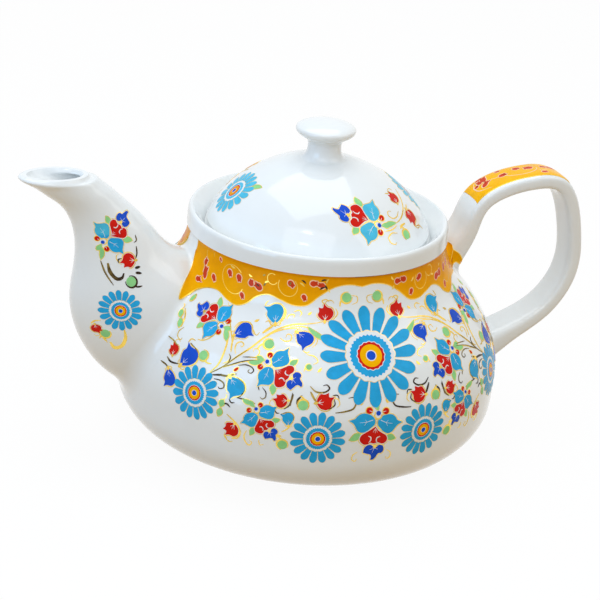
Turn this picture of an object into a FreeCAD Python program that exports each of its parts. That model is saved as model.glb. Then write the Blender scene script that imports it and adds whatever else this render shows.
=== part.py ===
import FreeCAD, Part
import os
import Sketcher

# Porcelain teapot, in millimetres.
# Origin on the pot's axis at the foot, +Z up, spout toward -X, handle toward +X.
SIZES = [
    ("foot_radius", 50.0), ("foot_width", 6.0), ("foot_height", 3.2), ("foot_recess", 2.4),
    ("foot_flare", 2.0), ("foot_bevel", 1.4),
    ("belly_radius", 83.7), ("neck_radius", 55.5), ("wall_height", 94.0),
    ("wall", 3.8), ("floor", 4.4),
    ("collar_swell", 1.1), ("collar_height", 9.0), ("collar_step", 1.6), ("collar_draft", 0.2),
    ("rim_width", 3.2), ("rim_outer_round", 3.4), ("rim_inner_round", 1.2),
    ("ledge_width", 3.7), ("ledge_depth", 7.0), ("ledge_thickness", 3.6), ("seat_slope", 4.7),
    ("lid_gap", 0.5), ("lid_rise", 31.1), ("lid_wall", 3.6), ("lid_pad_radius", 9.6),
    ("lid_edge", 2.2), ("lid_bevel", 1.2), ("lid_seat", 2.0),
    ("skirt_gap", 1.0), ("skirt_depth", 8.0), ("skirt_wall", 3.2), ("skirt_draft", 0.6),
    ("knob_radius", 12.7), ("knob_waist", 7.2), ("knob_height", 16.4),
    ("spout_reach", 46.9), ("spout_height", 124.0), ("spout_depth", 56.0), ("spout_width", 47.6),
    ("spout_wall", 4.0), ("mouth_length", 29.6), ("mouth_width", 20.6), ("lip_round", 1.5),
    ("strainer_height", 57.0), ("strainer_hole", 4.6), ("strainer_pitch", 7.4),
    ("handle_reach", 40.4), ("handle_rise", 114.5), ("handle_thickness", 7.4), ("handle_width", 18.6),
    ("enamel", 0.4), ("band_angle", 156.0), ("band_height", 12.6), ("band_notch", 15.0),
    ("band_bridge", 3.0), ("band_gap", 1.2), ("strip_width", 14.4),
]
VALUE = dict(SIZES)

# Handle stations from the neck to the belly: reach share, wall height and handle rise shares of the height,
# tilt, and thickness and width shares.
HANDLE = [
    (-0.080, 0.7016, 0.0000, 31.7, 2.162, 1.075), (0.029, 0.6781, 0.1023, 41.0, 1.892, 1.048),
    (0.112, 0.6059, 0.2186, 38.9, 1.622, 1.022), (0.173, 0.5201, 0.3420, 30.3, 1.297, 1.000),
    (0.214, 0.4184, 0.4775, 20.5, 1.108, 0.989), (0.243, 0.2945, 0.6332, 22.5, 1.027, 0.989),
    (0.293, 0.1659, 0.7878, 43.4, 1.000, 1.000), (0.375, 0.0676, 0.9025, 63.6, 1.000, 1.011),
    (0.500, 0.0000, 0.9850, 75.8, 1.000, 1.011), (0.620, 0.0000, 0.9980, 83.0, 1.000, 1.000),
    (0.736, 0.0000, 1.0000, 97.0, 1.000, 0.978), (0.829, 0.0000, 0.9810, 124.5, 1.000, 0.946),
    (0.894, 0.1320, 0.8276, 149.6, 0.986, 0.914), (0.949, 0.3402, 0.5767, 163.6, 0.973, 0.882),
    (0.984, 0.5290, 0.3297, 169.9, 0.946, 0.860), (1.000, 0.6635, 0.1273, 180.3, 0.946, 0.860),
    (0.980, 0.7187, 0.0000, 196.8, 0.946, 0.871), (0.920, 0.6261, 0.0000, 213.2, 0.959, 0.892),
    (0.824, 0.5445, 0.0000, 228.7, 0.986, 0.925), (0.711, 0.4860, 0.0000, 238.7, 1.054, 0.968),
    (0.590, 0.4361, 0.0000, 241.4, 1.243, 1.022), (0.459, 0.3849, 0.0000, 243.0, 1.689, 1.129),
    (0.270, 0.3240, 0.0000, 250.7, 2.432, 1.290),
]
STRIP_STATIONS = HANDLE[5:12]

# Spout stations from inside the pot up to the throat: how far each follows the mouth, its place across and up
# in spout depths turning into mouth lengths, tilt, and depth and width shares.
SPOUT = [
    (0.00, -0.5130, 0.0708, -64.2, 1.230, 0.924), (0.00, -0.3520, 0.1571, -57.5, 1.196, 0.987),
    (0.06, -0.2401, 0.1748, -51.6, 1.146, 1.000), (0.20, -0.2049, 0.1510, -41.9, 1.015, 0.924),
    (0.40, -0.3129, 0.0425, -34.9, 0.856, 0.777), (0.66, -0.5931, -0.1667, -36.1, 0.676, 0.622),
    (0.88, -0.8986, -0.3727, -34.9, 0.490, 0.496), (1.00, -1.0276, -0.4441, -25.6, 0.396, 0.429),
    (1.00, -0.9058, -0.3100, -19.1, 0.393, 0.420), (1.00, -0.7611, -0.2011, -13.0, 0.429, 0.420),
    (1.00, -0.6115, -0.0964, -6.3, 0.485, 0.429),
]

doc = FreeCAD.newDocument("teapot")
dims = doc.addObject("Spreadsheet::Sheet", "dims")
for row, (alias, value) in enumerate(SIZES, start=1):
    dims.set("A%d" % row, alias)
    dims.set("B%d" % row, str(value))
    dims.setAlias("B%d" % row, alias)
doc.recompute()


def size(constant=0.0, **terms):
    """A sum of sheet sizes as its value now and as the expression that keeps it so."""
    value = constant + sum(VALUE[name] * share for name, share in terms.items())
    text = " + ".join(["%.4f" % constant] + ["dims.%s * (%.5f)" % (n, s) for n, s in terms.items()])
    return value, text


def plane(body, role):
    """The origin plane of a body with the given role."""
    return [item for item in body.Origin.OriginFeatures if item.Role == role][0]


def new_body(name):
    body = doc.addObject("PartDesign::Body", name)
    body.Label = name
    return body


def new_sketch(body, name, role):
    sketch = body.newObject("Sketcher::SketchObject", name)
    sketch.AttachmentSupport = [(plane(body, role), "")]
    sketch.MapMode = "FlatFace"
    return sketch


def pin(rules, geo, where, point):
    """Tie one point of a sketch to its two sizes."""
    for kind, axis, (value, text) in (("DistanceX", -2, point[0]), ("DistanceY", -1, point[1])):
        if abs(value) < 1e-6:
            rules.append((Sketcher.Constraint("PointOnObject", geo, where, axis), None))
        elif value > 0:
            rules.append((Sketcher.Constraint(kind, -1, 1, geo, where, value), text))
        else:
            rules.append((Sketcher.Constraint(kind, geo, where, -1, 1, -value), "-(%s)" % text))


def apply(sketch, rules):
    """Add the rules in one go, then bind the ones that carry a size."""
    numbers = sketch.addConstraint([rule for rule, text in rules])
    for number, (rule, text) in zip(numbers, rules):
        if text:
            sketch.setExpression("Constraints[%d]" % number, text)


def add_spline(sketch, rules, points, closed=False, pinned=None):
    """A smooth curve by control points, each tied to its sizes."""
    poles = [FreeCAD.Vector(px[0], py[0], 0) for px, py in points]
    degree = min(3, len(poles) - 1)
    curve = sketch.addGeometry(Part.BSplineCurve(poles, None, None, closed, degree, None, False), False)
    for index, pole in enumerate(poles):
        ring = sketch.addGeometry(Part.Circle(pole, FreeCAD.Vector(0, 0, 1), 1.0), True)
        rules.append((Sketcher.Constraint("Weight", ring, 1.0), None))
        rules.append((Sketcher.Constraint("InternalAlignment:Sketcher::BSplineControlPoint",
                                          ring, 3, curve, index), None))
        if pinned is None or index < pinned:
            pin(rules, ring, 3, points[index])
    return curve


def outline(body, name, curves):
    """A closed outline in the XZ plane: two points make a line, more make a smooth curve."""
    sketch = new_sketch(body, name, "XZ_Plane")
    rules, geos = [], []
    for points in curves:
        if len(points) == 2:
            ends = [FreeCAD.Vector(px[0], py[0], 0) for px, py in points]
            geo = sketch.addGeometry(Part.LineSegment(*ends), False)
            pin(rules, geo, 1, points[0])
        else:
            geo = add_spline(sketch, rules, points, pinned=len(points) - 1)
        geos.append(geo)
    for here, after in zip(geos, geos[1:] + geos[:1]):
        rules.append((Sketcher.Constraint("Coincident", here, 2, after, 1), None))
    apply(sketch, rules)
    return sketch


def chain(corners, curves):
    """Straight curves through the corners, or the smooth curve listed for a start corner."""
    result = []
    for index, corner in enumerate(corners):
        after = corners[(index + 1) % len(corners)]
        result.append([corner] + curves.get(index, []) + [after])
    return result


def turn(body, kind, name, sketch):
    feature = body.newObject("PartDesign::" + kind, name)
    feature.Profile = sketch
    feature.ReferenceAxis = (sketch, ["V_Axis"])
    feature.Angle = 360.0
    sketch.Visibility = False
    return feature


def section(body, name, x, z, tilt, depth, width, square):
    """A rounded closed section across the path, placed at (x, z) and tilted about Y."""
    sketch = new_sketch(body, name, "XY_Plane")
    sketch.AttachmentOffset = FreeCAD.Placement(FreeCAD.Vector(x[0], 0, z[0]),
                                                FreeCAD.Rotation(FreeCAD.Vector(0, 1, 0), tilt))
    sketch.setExpression("AttachmentOffset.Base.x", x[1])
    sketch.setExpression("AttachmentOffset.Base.z", z[1])
    axis = 1.108 - 0.108 * square
    corner = 0.7836 + 0.2164 * square
    points = []
    for along, across in ((1, 0), (1, 1), (0, 1), (-1, 1), (-1, 0), (-1, -1), (0, -1), (1, -1)):
        share = 0.5 * (corner if along and across else axis)
        points.append(((depth[0] * along * share, "(%s) * (%.5f)" % (depth[1], along * share)),
                       (width[0] * across * share, "(%s) * (%.5f)" % (width[1], across * share))))
    rules = []
    add_spline(sketch, rules, points, closed=True)
    apply(sketch, rules)
    return sketch


def loft(body, kind, name, sketches):
    feature = body.newObject("PartDesign::" + kind, name)
    feature.Profile = sketches[0]
    feature.Sections = sketches[1:]
    feature.Ruled = False
    for sketch in sketches:
        sketch.Visibility = False
    return feature


def wall_curve(skin=0.0):
    """Control points of the pot's outer wall from the foot to the throat, out by a share of the enamel."""
    return [
        (size(foot_radius=1, foot_flare=1, enamel=skin), size(foot_height=1)),
        (size(belly_radius=0.845, enamel=skin), size(foot_height=1, wall_height=0.012)),
        (size(belly_radius=1.001, enamel=skin), size(wall_height=0.176)),
        (size(belly_radius=0.999, enamel=skin), size(wall_height=0.303)),
        (size(belly_radius=1.018, enamel=skin), size(wall_height=0.500)),
        (size(belly_radius=0.498, neck_radius=0.498, enamel=skin), size(wall_height=0.779)),
        (size(neck_radius=1.060, enamel=skin), size(wall_height=0.835)),
        (size(neck_radius=1, enamel=skin), size(wall_height=1)),
    ]


def core_outline(body, name, skin=0.0):
    """The pot filled solid, from the foot to the collar."""
    wall = wall_curve(skin)
    collar = (size(neck_radius=1, collar_swell=1, enamel=skin), size(wall_height=1, collar_step=1))
    top = (size(), size(wall_height=1, collar_step=1))
    bottom = (size(), size(foot_height=1))
    corners = [bottom, wall[0], wall[-1], collar, top]
    return outline(body, name, chain(corners, {1: wall[1:-1]}))


def make_pot_body():
    body = new_body("pot_body")
    wall = wall_curve()
    rim_top = dict(wall_height=1, collar_height=1)
    ledge = dict(wall_height=1, collar_height=1, ledge_depth=-1)
    outer = dict(neck_radius=1, collar_swell=1)
    drawn = dict(neck_radius=1, collar_swell=1, collar_draft=-1)
    bore = dict(neck_radius=1, collar_swell=1, rim_width=-1)
    throat = dict(neck_radius=1, collar_swell=1, rim_width=-1, seat_slope=-1, ledge_width=-1)
    corners = [
        (size(), size(foot_recess=1)),
        (size(foot_radius=1, foot_width=-1, foot_bevel=-1), size(foot_recess=1)),
        (size(foot_radius=1, foot_width=-1), size()),
        (size(foot_radius=1), size()),
        wall[0],
        wall[-1],
        (size(**outer), size(wall_height=1, collar_step=1)),
        (size(**drawn), size(rim_outer_round=-1, **rim_top)),
        (size(rim_width=-0.5, **drawn), size(**rim_top)),
        (size(**bore), size(rim_inner_round=-1, **rim_top)),
        (size(seat_slope=-1, **bore), size(**ledge)),
        (size(**throat), size(**ledge)),
        (size(**throat), size(ledge_thickness=-1, **ledge)),
        (size(neck_radius=1.004, wall=-1),
         size(ledge_thickness=-1, ledge_width=-1.1, seat_slope=-0.45, **ledge)),
        (size(foot_radius=1), size(foot_recess=1, floor=1.25)),
        (size(), size(foot_recess=1, floor=1)),
    ]
    inner = [
        (size(neck_radius=1.045, wall=-0.9), size(wall_height=0.835, wall=-0.45)),
        (size(belly_radius=0.498, neck_radius=0.498, wall=-0.75), size(wall_height=0.779, wall=-0.75)),
        (size(belly_radius=1.018, wall=-1.0), size(wall_height=0.500, wall=-0.3)),
        (size(belly_radius=0.999, wall=-1.0), size(wall_height=0.303)),
        (size(belly_radius=1.001, wall=-1.0), size(wall_height=0.176, wall=0.3)),
        (size(belly_radius=0.845, wall=-0.4), size(foot_height=1, wall_height=0.012, wall=1.0)),
    ]
    curves = {
        4: wall[1:-1],
        5: [(size(neck_radius=1, collar_swell=0.1), size(wall_height=1, collar_step=0.9))],
        7: [(size(**drawn), size(**rim_top))],
        8: [(size(seat_slope=0.2, **bore), size(**rim_top))],
        13: inner,
    }
    turn(body, "Revolution", "shell", outline(body, "shell_outline", chain(corners, curves)))
    for number, (ring, count) in enumerate(((0, 1), (1, 6), (2, 12))):
        sketch = new_sketch(body, "strainer_sketch_%d" % number, "YZ_Plane")
        height = size(strainer_height=1)
        sketch.AttachmentOffset = FreeCAD.Placement(FreeCAD.Vector(0, height[0], 0), FreeCAD.Rotation())
        sketch.setExpression("AttachmentOffset.Base.y", height[1])
        radius, away = size(strainer_hole=0.5), size(strainer_pitch=ring)
        centre = FreeCAD.Vector(0, away[0], 0)
        hole = sketch.addGeometry(Part.Circle(centre, FreeCAD.Vector(0, 0, 1), radius[0]))
        rules = [(Sketcher.Constraint("Radius", hole, radius[0]), radius[1])]
        pin(rules, hole, 3, (size(), away))
        apply(sketch, rules)
        pocket = body.newObject("PartDesign::Pocket", "strainer_%d" % number)
        pocket.Profile = sketch
        pocket.Type = "Length"
        pocket.setExpression("Length", "dims.belly_radius + dims.wall")
        sketch.Visibility = False
        if count > 1:
            pattern = body.newObject("PartDesign::PolarPattern", "strainer_ring_%d" % number)
            pattern.Originals = [pocket]
            pattern.Axis = (sketch, ["N_Axis"])
            pattern.Angle = 360.0
            pattern.Occurrences = count
            body.Tip = pattern
    return body


def handle_place(station):
    across, wall_share, rise_share = station[:3]
    x = size(neck_radius=1 - across, belly_radius=across, handle_reach=across)
    return x, size(wall_height=wall_share, handle_rise=rise_share)


def handle_sections(body, skin=0.0):
    sketches = []
    for number, station in enumerate(HANDLE):
        x, z = handle_place(station)
        depth = size(handle_thickness=station[4], enamel=skin)
        width = size(handle_width=station[5], enamel=skin)
        name = "%s_section_%d" % (body.Label, number)
        sketches.append(section(body, name, x, z, station[3], depth, width, 1.0))
    return sketches


def make_handle():
    body = new_body("handle")
    loft(body, "AdditiveLoft", "strap", handle_sections(body))
    turn(body, "Groove", "handle_seat", core_outline(body, "handle_seat_outline"))
    return body


def make_spout():
    body = new_body("spout")
    outside, inside = [], []
    for number, (near, across, up, tilt, depth_share, width_share) in enumerate(SPOUT):
        far = 1 - near
        x = size(belly_radius=-1, spout_reach=-near, spout_depth=-across * far, mouth_length=-across * near)
        z = size(wall_height=0.5 * far, spout_height=near, spout_depth=up * far, mouth_length=up * near)
        depth, width = size(spout_depth=depth_share), size(spout_width=width_share)
        outside.append(section(body, "spout_section_%d" % number, x, z, tilt, depth, width, 0.0))
        depth = size(spout_depth=depth_share, spout_wall=-2)
        width = size(spout_width=width_share, spout_wall=-2)
        inside.append(section(body, "bore_section_%d" % number, x, z, tilt, depth, width, 0.0))
    x, tilt = size(belly_radius=-1, spout_reach=-1, mouth_length=0.5), 0.0
    below, top, above = [size(spout_height=1, lip_round=share) for share in (-1, 0, 1)]
    for name, z, inset in (("lip_side", below, 0.0), ("lip_top", top, -1.6)):
        depth, width = size(mouth_length=1, lip_round=inset), size(mouth_width=1, lip_round=inset)
        outside.append(section(body, name, x, z, tilt, depth, width, 0.0))
    for name, z, inset in (("bore_side", below, 0.0), ("bore_top", top, 1.2), ("bore_end", above, 3.0)):
        depth = size(mouth_length=1, spout_wall=-2, lip_round=inset)
        width = size(mouth_width=1, spout_wall=-2, lip_round=inset)
        inside.append(section(body, name, x, z, tilt, depth, width, 0.0))
    loft(body, "AdditiveLoft", "spout_wall_loft", outside)
    loft(body, "SubtractiveLoft", "spout_bore", inside)
    turn(body, "Groove", "spout_seat", core_outline(body, "spout_seat_outline"))
    return body


def make_lid():
    body = new_body("lid")
    ledge = dict(wall_height=1, collar_height=1, ledge_depth=-1)
    edge = dict(neck_radius=1, collar_swell=1, rim_width=-1, seat_slope=-1, lid_gap=-1)
    skirt = dict(neck_radius=1, collar_swell=1, rim_width=-1, seat_slope=-1, ledge_width=-1, skirt_gap=-1)
    inside = dict(skirt_wall=-1, **skirt)
    corners = [
        (size(), size(lid_rise=1, **ledge)),
        (size(lid_pad_radius=1), size(lid_rise=1, **ledge)),
        (size(**edge), size(lid_edge=1, **ledge)),
        (size(lid_bevel=-1, **edge), size(**ledge)),
        (size(**skirt), size(**ledge)),
        (size(skirt_draft=-1, **skirt), size(skirt_depth=-1, **ledge)),
        (size(**inside), size(skirt_depth=-1, **ledge)),
        (size(**inside), size(lid_seat=1, **ledge)),
        (size(), size(lid_rise=1, lid_wall=-1, **ledge)),
    ]
    curves = {
        1: [(size(lid_pad_radius=0.62, **{k: 0.42 * v for k, v in edge.items()}),
             size(lid_rise=0.905, **ledge)),
            (size(**{k: 0.865 * v for k, v in edge.items()}), size(lid_rise=0.525, **ledge))],
        2: [(size(**edge), size(**ledge))],
        7: [(size(**{k: 0.96 * v for k, v in inside.items()}), size(lid_rise=0.55, lid_wall=-0.4, **ledge)),
            (size(**{k: 0.56 * v for k, v in inside.items()}), size(lid_rise=1.0, lid_wall=-1, **ledge))],
    }
    turn(body, "Revolution", "dome", outline(body, "dome_outline", chain(corners, curves)))
    return body


def make_knob():
    body = new_body("lid_knob")
    base = dict(wall_height=1, collar_height=1, ledge_depth=-1, lid_rise=1)
    corners = [
        (size(), size(**base)),
        (size(lid_pad_radius=1), size(**base)),
        (size(knob_waist=1), size(knob_height=0.36, **base)),
        (size(knob_radius=0.97), size(knob_height=0.70, **base)),
        (size(knob_radius=0.95), size(knob_height=0.86, **base)),
        (size(), size(knob_height=1, **base)),
    ]
    curves = {
        1: [(size(knob_waist=1.06), size(knob_height=0.06, **base)),
            (size(knob_waist=1), size(knob_height=0.20, **base))],
        2: [(size(knob_waist=1), size(knob_height=0.56, **base)),
            (size(knob_radius=0.84), size(knob_height=0.58, **base))],
        3: [(size(knob_radius=1.03), size(knob_height=0.75, **base)),
            (size(knob_radius=1.03), size(knob_height=0.82, **base))],
        4: [(size(knob_radius=0.80), size(knob_height=0.95, **base)),
            (size(knob_radius=0.40), size(knob_height=1, **base))],
    }
    turn(body, "Revolution", "button", outline(body, "button_outline", chain(corners, curves)))
    return body


def make_bands(core, skin):
    """Two enamel bands under the collar, each ending short of the spout and of the handle."""
    stops = []
    for name, x, width in (("spout", "-dims.belly_radius", "dims.spout_width * 0.62"),
                           ("handle", "0", "dims.handle_width * 1.08")):
        stop = doc.addObject("Part::Box", "band_stop_" + name)
        stop.setExpression("Length", "dims.belly_radius")
        stop.setExpression("Width", width + " + dims.band_gap * 2")
        stop.setExpression("Height", "dims.wall_height * 2")
        stop.setExpression("Placement.Base.x", x)
        stop.setExpression("Placement.Base.y", "-(%s) / 2 - dims.band_gap" % width)
        stops.append(stop)
    bands = []
    for name, facing in (("band_front", -90.0), ("band_back", 90.0)):
        sector = doc.addObject("Part::Cylinder", name + "_sector")
        sector.setExpression("Radius", "dims.belly_radius")
        sector.setExpression("Height", "dims.band_height")
        sector.setExpression("Angle", "dims.band_angle")
        sector.setExpression("Placement.Base.z", "dims.wall_height - dims.band_height")
        sector.setExpression("Placement.Rotation.Angle", "%.1f - dims.band_angle / 2" % facing)
        notch = doc.addObject("Part::Cylinder", name + "_notch")
        notch.setExpression("Radius", "dims.band_notch")
        notch.setExpression("Height", "dims.belly_radius * 2")
        lying = FreeCAD.Rotation(FreeCAD.Vector(1, 0, 0), -facing)
        notch.Placement = FreeCAD.Placement(FreeCAD.Vector(0, 0, 0), lying)
        notch.setExpression("Placement.Base.z", "dims.wall_height - dims.band_bridge - dims.band_notch")
        shape = sector
        for tool in [notch] + stops:
            cut = doc.addObject("Part::Cut", "%s_less_%s" % (name, tool.Name))
            cut.Base, cut.Tool = shape, tool
            shape = cut
        over = doc.addObject("Part::MultiCommon", name + "_over")
        over.Shapes = [skin, shape]
        band = doc.addObject("Part::Cut", name)
        band.Label = name
        band.Base, band.Tool = over, core
        bands.append(band)
    return bands


def make_strip(handle):
    skin = new_body("handle_skin")
    loft(skin, "AdditiveLoft", "skin_strap", handle_sections(skin, 2.0))
    reach = new_body("strip_reach")
    corners = []
    for station in STRIP_STATIONS:
        corners.append(handle_place(station))
    high = size(handle_rise=1, handle_thickness=2)
    corners += [(corners[-1][0], high), (corners[0][0], high)]
    pad = reach.newObject("PartDesign::Pad", "strip_pad")
    pad.Profile = outline(reach, "strip_outline", chain(corners, {}))
    pad.setExpression("Length", "dims.strip_width")
    pad.Midplane = True
    over = doc.addObject("Part::MultiCommon", "strip_over")
    over.Shapes = [skin, reach]
    strip = doc.addObject("Part::Cut", "handle_strip")
    strip.Label = "handle_strip"
    strip.Base, strip.Tool = over, handle
    return strip


core_body = new_body("core")
turn(core_body, "Revolution", "core_turn", core_outline(core_body, "core_outline_sketch"))
skin_body = new_body("core_skin")
turn(skin_body, "Revolution", "skin_turn", core_outline(skin_body, "skin_outline_sketch", 1.0))

handle_body = make_handle()
nodes = [make_pot_body(), make_spout(), handle_body, make_lid(), make_knob()]
nodes += make_bands(core_body, skin_body)
nodes.append(make_strip(handle_body))
doc.recompute()

for item in doc.Objects:
    if "Invalid" in item.State or "Error" in item.State:
        raise RuntimeError("%s did not rebuild: %s" % (item.Name, item.State))
os.makedirs("parts", exist_ok=True)
for node in nodes:
    if node.Shape.isNull() or not node.Shape.isValid() or not node.Shape.Solids:
        raise RuntimeError("%s has no valid solid" % node.Label)
    node.Shape.exportStep("parts/%s.step" % node.Label)
    print(node.Label, len(node.Shape.Solids), round(node.Shape.Volume), node.Shape.BoundBox)
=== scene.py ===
"""White porcelain teapot with enamel flowers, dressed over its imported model."""

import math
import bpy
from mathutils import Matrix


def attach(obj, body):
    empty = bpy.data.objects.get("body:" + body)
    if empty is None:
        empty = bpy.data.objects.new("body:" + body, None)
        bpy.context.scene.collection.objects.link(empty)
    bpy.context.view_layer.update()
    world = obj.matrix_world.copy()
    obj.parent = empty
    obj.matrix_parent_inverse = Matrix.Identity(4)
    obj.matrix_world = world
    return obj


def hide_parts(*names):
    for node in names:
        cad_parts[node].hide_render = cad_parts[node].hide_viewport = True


bl_info = {
    "name": "Porcelain Teapot Dressing",
    "version": (1, 0, 0),
    "blender": (4, 5, 0),
    "location": "View3D > Sidebar > Teapot",
    "description": "Glaze, enamel flowers, collar band and studio for a porcelain teapot",
    "category": "Object",
}

import bmesh
import bpy
import numpy as np
from bpy.props import FloatProperty, FloatVectorProperty, IntProperty, PointerProperty
from mathutils import Matrix, Vector
from mathutils.bvhtree import BVHTree

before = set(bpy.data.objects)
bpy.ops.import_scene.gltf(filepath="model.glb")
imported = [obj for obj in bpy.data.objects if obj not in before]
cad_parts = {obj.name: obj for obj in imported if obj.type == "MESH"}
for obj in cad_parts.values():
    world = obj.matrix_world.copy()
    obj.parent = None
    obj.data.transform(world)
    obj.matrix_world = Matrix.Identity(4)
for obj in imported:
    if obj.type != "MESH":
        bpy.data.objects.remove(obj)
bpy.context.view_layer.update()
MM = 0.001
# How a drawing is laid: as it is, turned half round, or mirrored to the back
PLAIN, TURNED, MIRRORED = (1, 1, 1), (-1, -1, 1), (1, -1, 1)


# Sizes and colours a user would change

def colour(name, text, value):
    return FloatVectorProperty(name=name, description=text, subtype="COLOR", size=3, min=0.0, max=1.0,
                               default=value)


def metres(name, text, value, low, high):
    return FloatProperty(name=name, description=text, default=value, min=low, max=high, unit="LENGTH")


class TeapotEnamel(bpy.types.PropertyGroup):
    turquoise: colour("Turquoise", "Petals and bell buds", (0.022, 0.385, 0.745))
    # The paler lid turquoise is a painted highlight: glare on the top of the lid
    lid: colour("Lid turquoise", "Petals on the lid, paler with painted glare", (0.075, 0.520, 0.760))
    cobalt: colour("Cobalt", "Blue buds and trefoils", (0.009, 0.080, 0.610))
    red: colour("Red", "Tulip buds and hearts", (0.640, 0.011, 0.004))
    green: colour("Green", "Round buds and leaves", (0.290, 0.680, 0.270))
    orange: colour("Orange", "Collar band and eyes of the rosettes", (0.850, 0.345, 0.001))
    amber: colour("Amber", "Handle strip and the lighter lower edge of the band", (0.960, 0.480, 0.001))
    rust: colour("Rust", "Buds on the orange", (0.640, 0.052, 0.012))
    blush: colour("Blush", "Lines round the buds on the orange", (0.930, 0.640, 0.420))
    pale: colour("Pale", "Veins and outlines left pale", (0.820, 0.850, 0.860))
    gold: colour("Gold", "Metal vines and edges", (0.830, 0.570, 0.105))
    # Dark gold is painted darkness on the gold: dark reflection on the lines and a shadow line under the
    # collar; the band's dark flecks of print use it too
    burnt: colour("Dark gold: painted shade and print", "Gold darkened as painted shade and dark reflection, low on the belly; also dark flecks of print", (0.040, 0.024, 0.012))
    lift: metres("Lift", "How far the enamel stands off the glaze", 0.00010, 0.00002, 0.0005)
    edge: metres("Gold edge", "Width of the gold line round each shape", 0.00026, 0.0, 0.001)


class TeapotFlowers(bpy.types.PropertyGroup):
    petals: IntProperty(name="Petals", description="Petals of a rosette", default=16, min=6, max=32)
    large: metres("Large rosette", "Radius of the front rosette", 0.0212, 0.005, 0.04)
    small: metres("Small rosette", "Radius of the side rosettes", 0.0114, 0.004, 0.03)


class TeapotPorcelain(bpy.types.PropertyGroup):
    white: colour("White", "Glazed body", (0.810, 0.850, 0.865))
    seam: metres("Slip seam", "Reach of the slip fillet at spout and handle roots", 0.0055, 0.0005, 0.012)


def settings():
    scene = bpy.context.scene
    return scene.teapot_enamel, scene.teapot_flowers, scene.teapot_porcelain


# Node trees and materials

def new_group(name, kind, takes, gives):
    """A node group with its inputs and outputs, each a name, a kind and a default."""
    tree = bpy.data.node_groups.new(name, kind)
    for way, rows in (("INPUT", takes), ("OUTPUT", gives)):
        for label, sort, default in rows:
            item = tree.interface.new_socket(name=label, in_out=way, socket_type="NodeSocket" + sort)
            if default is not None:
                item.default_value = default
    return tree


def add_nodes(tree, *kinds):
    return [tree.nodes.new(kind) for kind in kinds]


def maths(tree, operation, values):
    """A maths node with some of its inputs set."""
    node = tree.nodes.new("ShaderNodeMath")
    node.operation = operation
    fill(node, values)
    return node


def fill(node, values):
    for key, value in values.items():
        node.inputs[key].default_value = value


def wire(tree, *rows):
    """Join nodes: each row is a node, its output, another node and its input."""
    for giver, output, taker, entry in rows:
        tree.links.new(giver.outputs[output], taker.inputs[entry])


def mottle_group():
    """Slow cloudiness and fine speckle of a fired colour, as a tinted colour and a roughness."""
    if "Fired mottle" in bpy.data.node_groups:
        return bpy.data.node_groups["Fired mottle"]
    tree = new_group("Fired mottle", "ShaderNodeTree",
                     (("Colour", "Color", (1, 1, 1, 1)), ("Cloud", "Float", 0.1), ("Scale", "Float", 200.0),
                      ("Rough", "Float", 0.1)),
                     (("Colour", "Color", None), ("Roughness", "Float", None), ("Height", "Float", None)))
    given, result, place, cloud, speck, spread, tint = add_nodes(
        tree, "NodeGroupInput", "NodeGroupOutput", "ShaderNodeTexCoord", "ShaderNodeTexNoise",
        "ShaderNodeTexNoise", "ShaderNodeMapRange", "ShaderNodeVectorMath")
    fill(cloud, {"Detail": 3.0})
    fill(speck, {"Detail": 2.0})
    finer, mix = maths(tree, "MULTIPLY", {1: 6.0}), maths(tree, "MULTIPLY_ADD", {1: 0.35})
    fill(spread, {"From Min": 0.42, "From Max": 0.92, "To Min": -0.5, "To Max": 0.5})
    amount, rough = maths(tree, "MULTIPLY_ADD", {2: 1.0}), maths(tree, "MULTIPLY", {})
    tint.operation = "SCALE"
    wire(tree, (place, "Object", cloud, "Vector"), (place, "Object", speck, "Vector"),
         (given, "Scale", cloud, "Scale"), (given, "Scale", finer, 0), (finer, 0, speck, "Scale"),
         (speck, "Fac", mix, 0), (cloud, "Fac", mix, 2), (mix, 0, spread, "Value"),
         (spread, "Result", amount, 0), (given, "Cloud", amount, 1), (given, "Colour", tint, 0),
         (amount, 0, tint, "Scale"), (given, "Rough", rough, 0), (amount, 0, rough, 1),
         (tint, 0, result, "Colour"), (rough, 0, result, "Roughness"), (mix, 0, result, "Height"))
    return tree


# Heights between which a colour passes into another, how far noise breaks the line, and the noise's scale
CLIMB = ("From", "To", "Break", "Scale")


def height_group():
    """Two colours that pass into each other with height, broken by a slow noise."""
    if "Height tone" in bpy.data.node_groups:
        return bpy.data.node_groups["Height tone"]
    tree = new_group("Height tone", "ShaderNodeTree",
                     (("Low", "Color", (1, 1, 1, 1)), ("High", "Color", (1, 1, 1, 1)),
                      *((name, "Float", value) for name, value in zip(CLIMB, (0.0, 0.1, 0.5, 60.0)))),
                     (("Colour", "Color", None),))
    given, result, place, split, noise, climb, mix = add_nodes(
        tree, "NodeGroupInput", "NodeGroupOutput", "ShaderNodeTexCoord", "ShaderNodeSeparateXYZ",
        "ShaderNodeTexNoise", "ShaderNodeMapRange", "ShaderNodeMix")
    shift, add = maths(tree, "SUBTRACT", {1: 0.5}), maths(tree, "MULTIPLY_ADD", {})
    add.use_clamp, mix.data_type = True, "RGBA"
    wire(tree, (place, "Object", split, 0), (place, "Object", noise, "Vector"),
         (given, "Scale", noise, "Scale"), (split, "Z", climb, "Value"), (given, "From", climb, "From Min"),
         (given, "To", climb, "From Max"), (noise, "Fac", shift, 0), (shift, 0, add, 0),
         (given, "Break", add, 1), (climb, "Result", add, 2), (add, 0, mix, 0), (given, "Low", mix, 6),
         (given, "High", mix, 7), (mix, 2, result, "Colour"))
    return tree


RIPPLE_DEPTH, COAT_ROUGHNESS = 0.0002, 0.04


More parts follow.
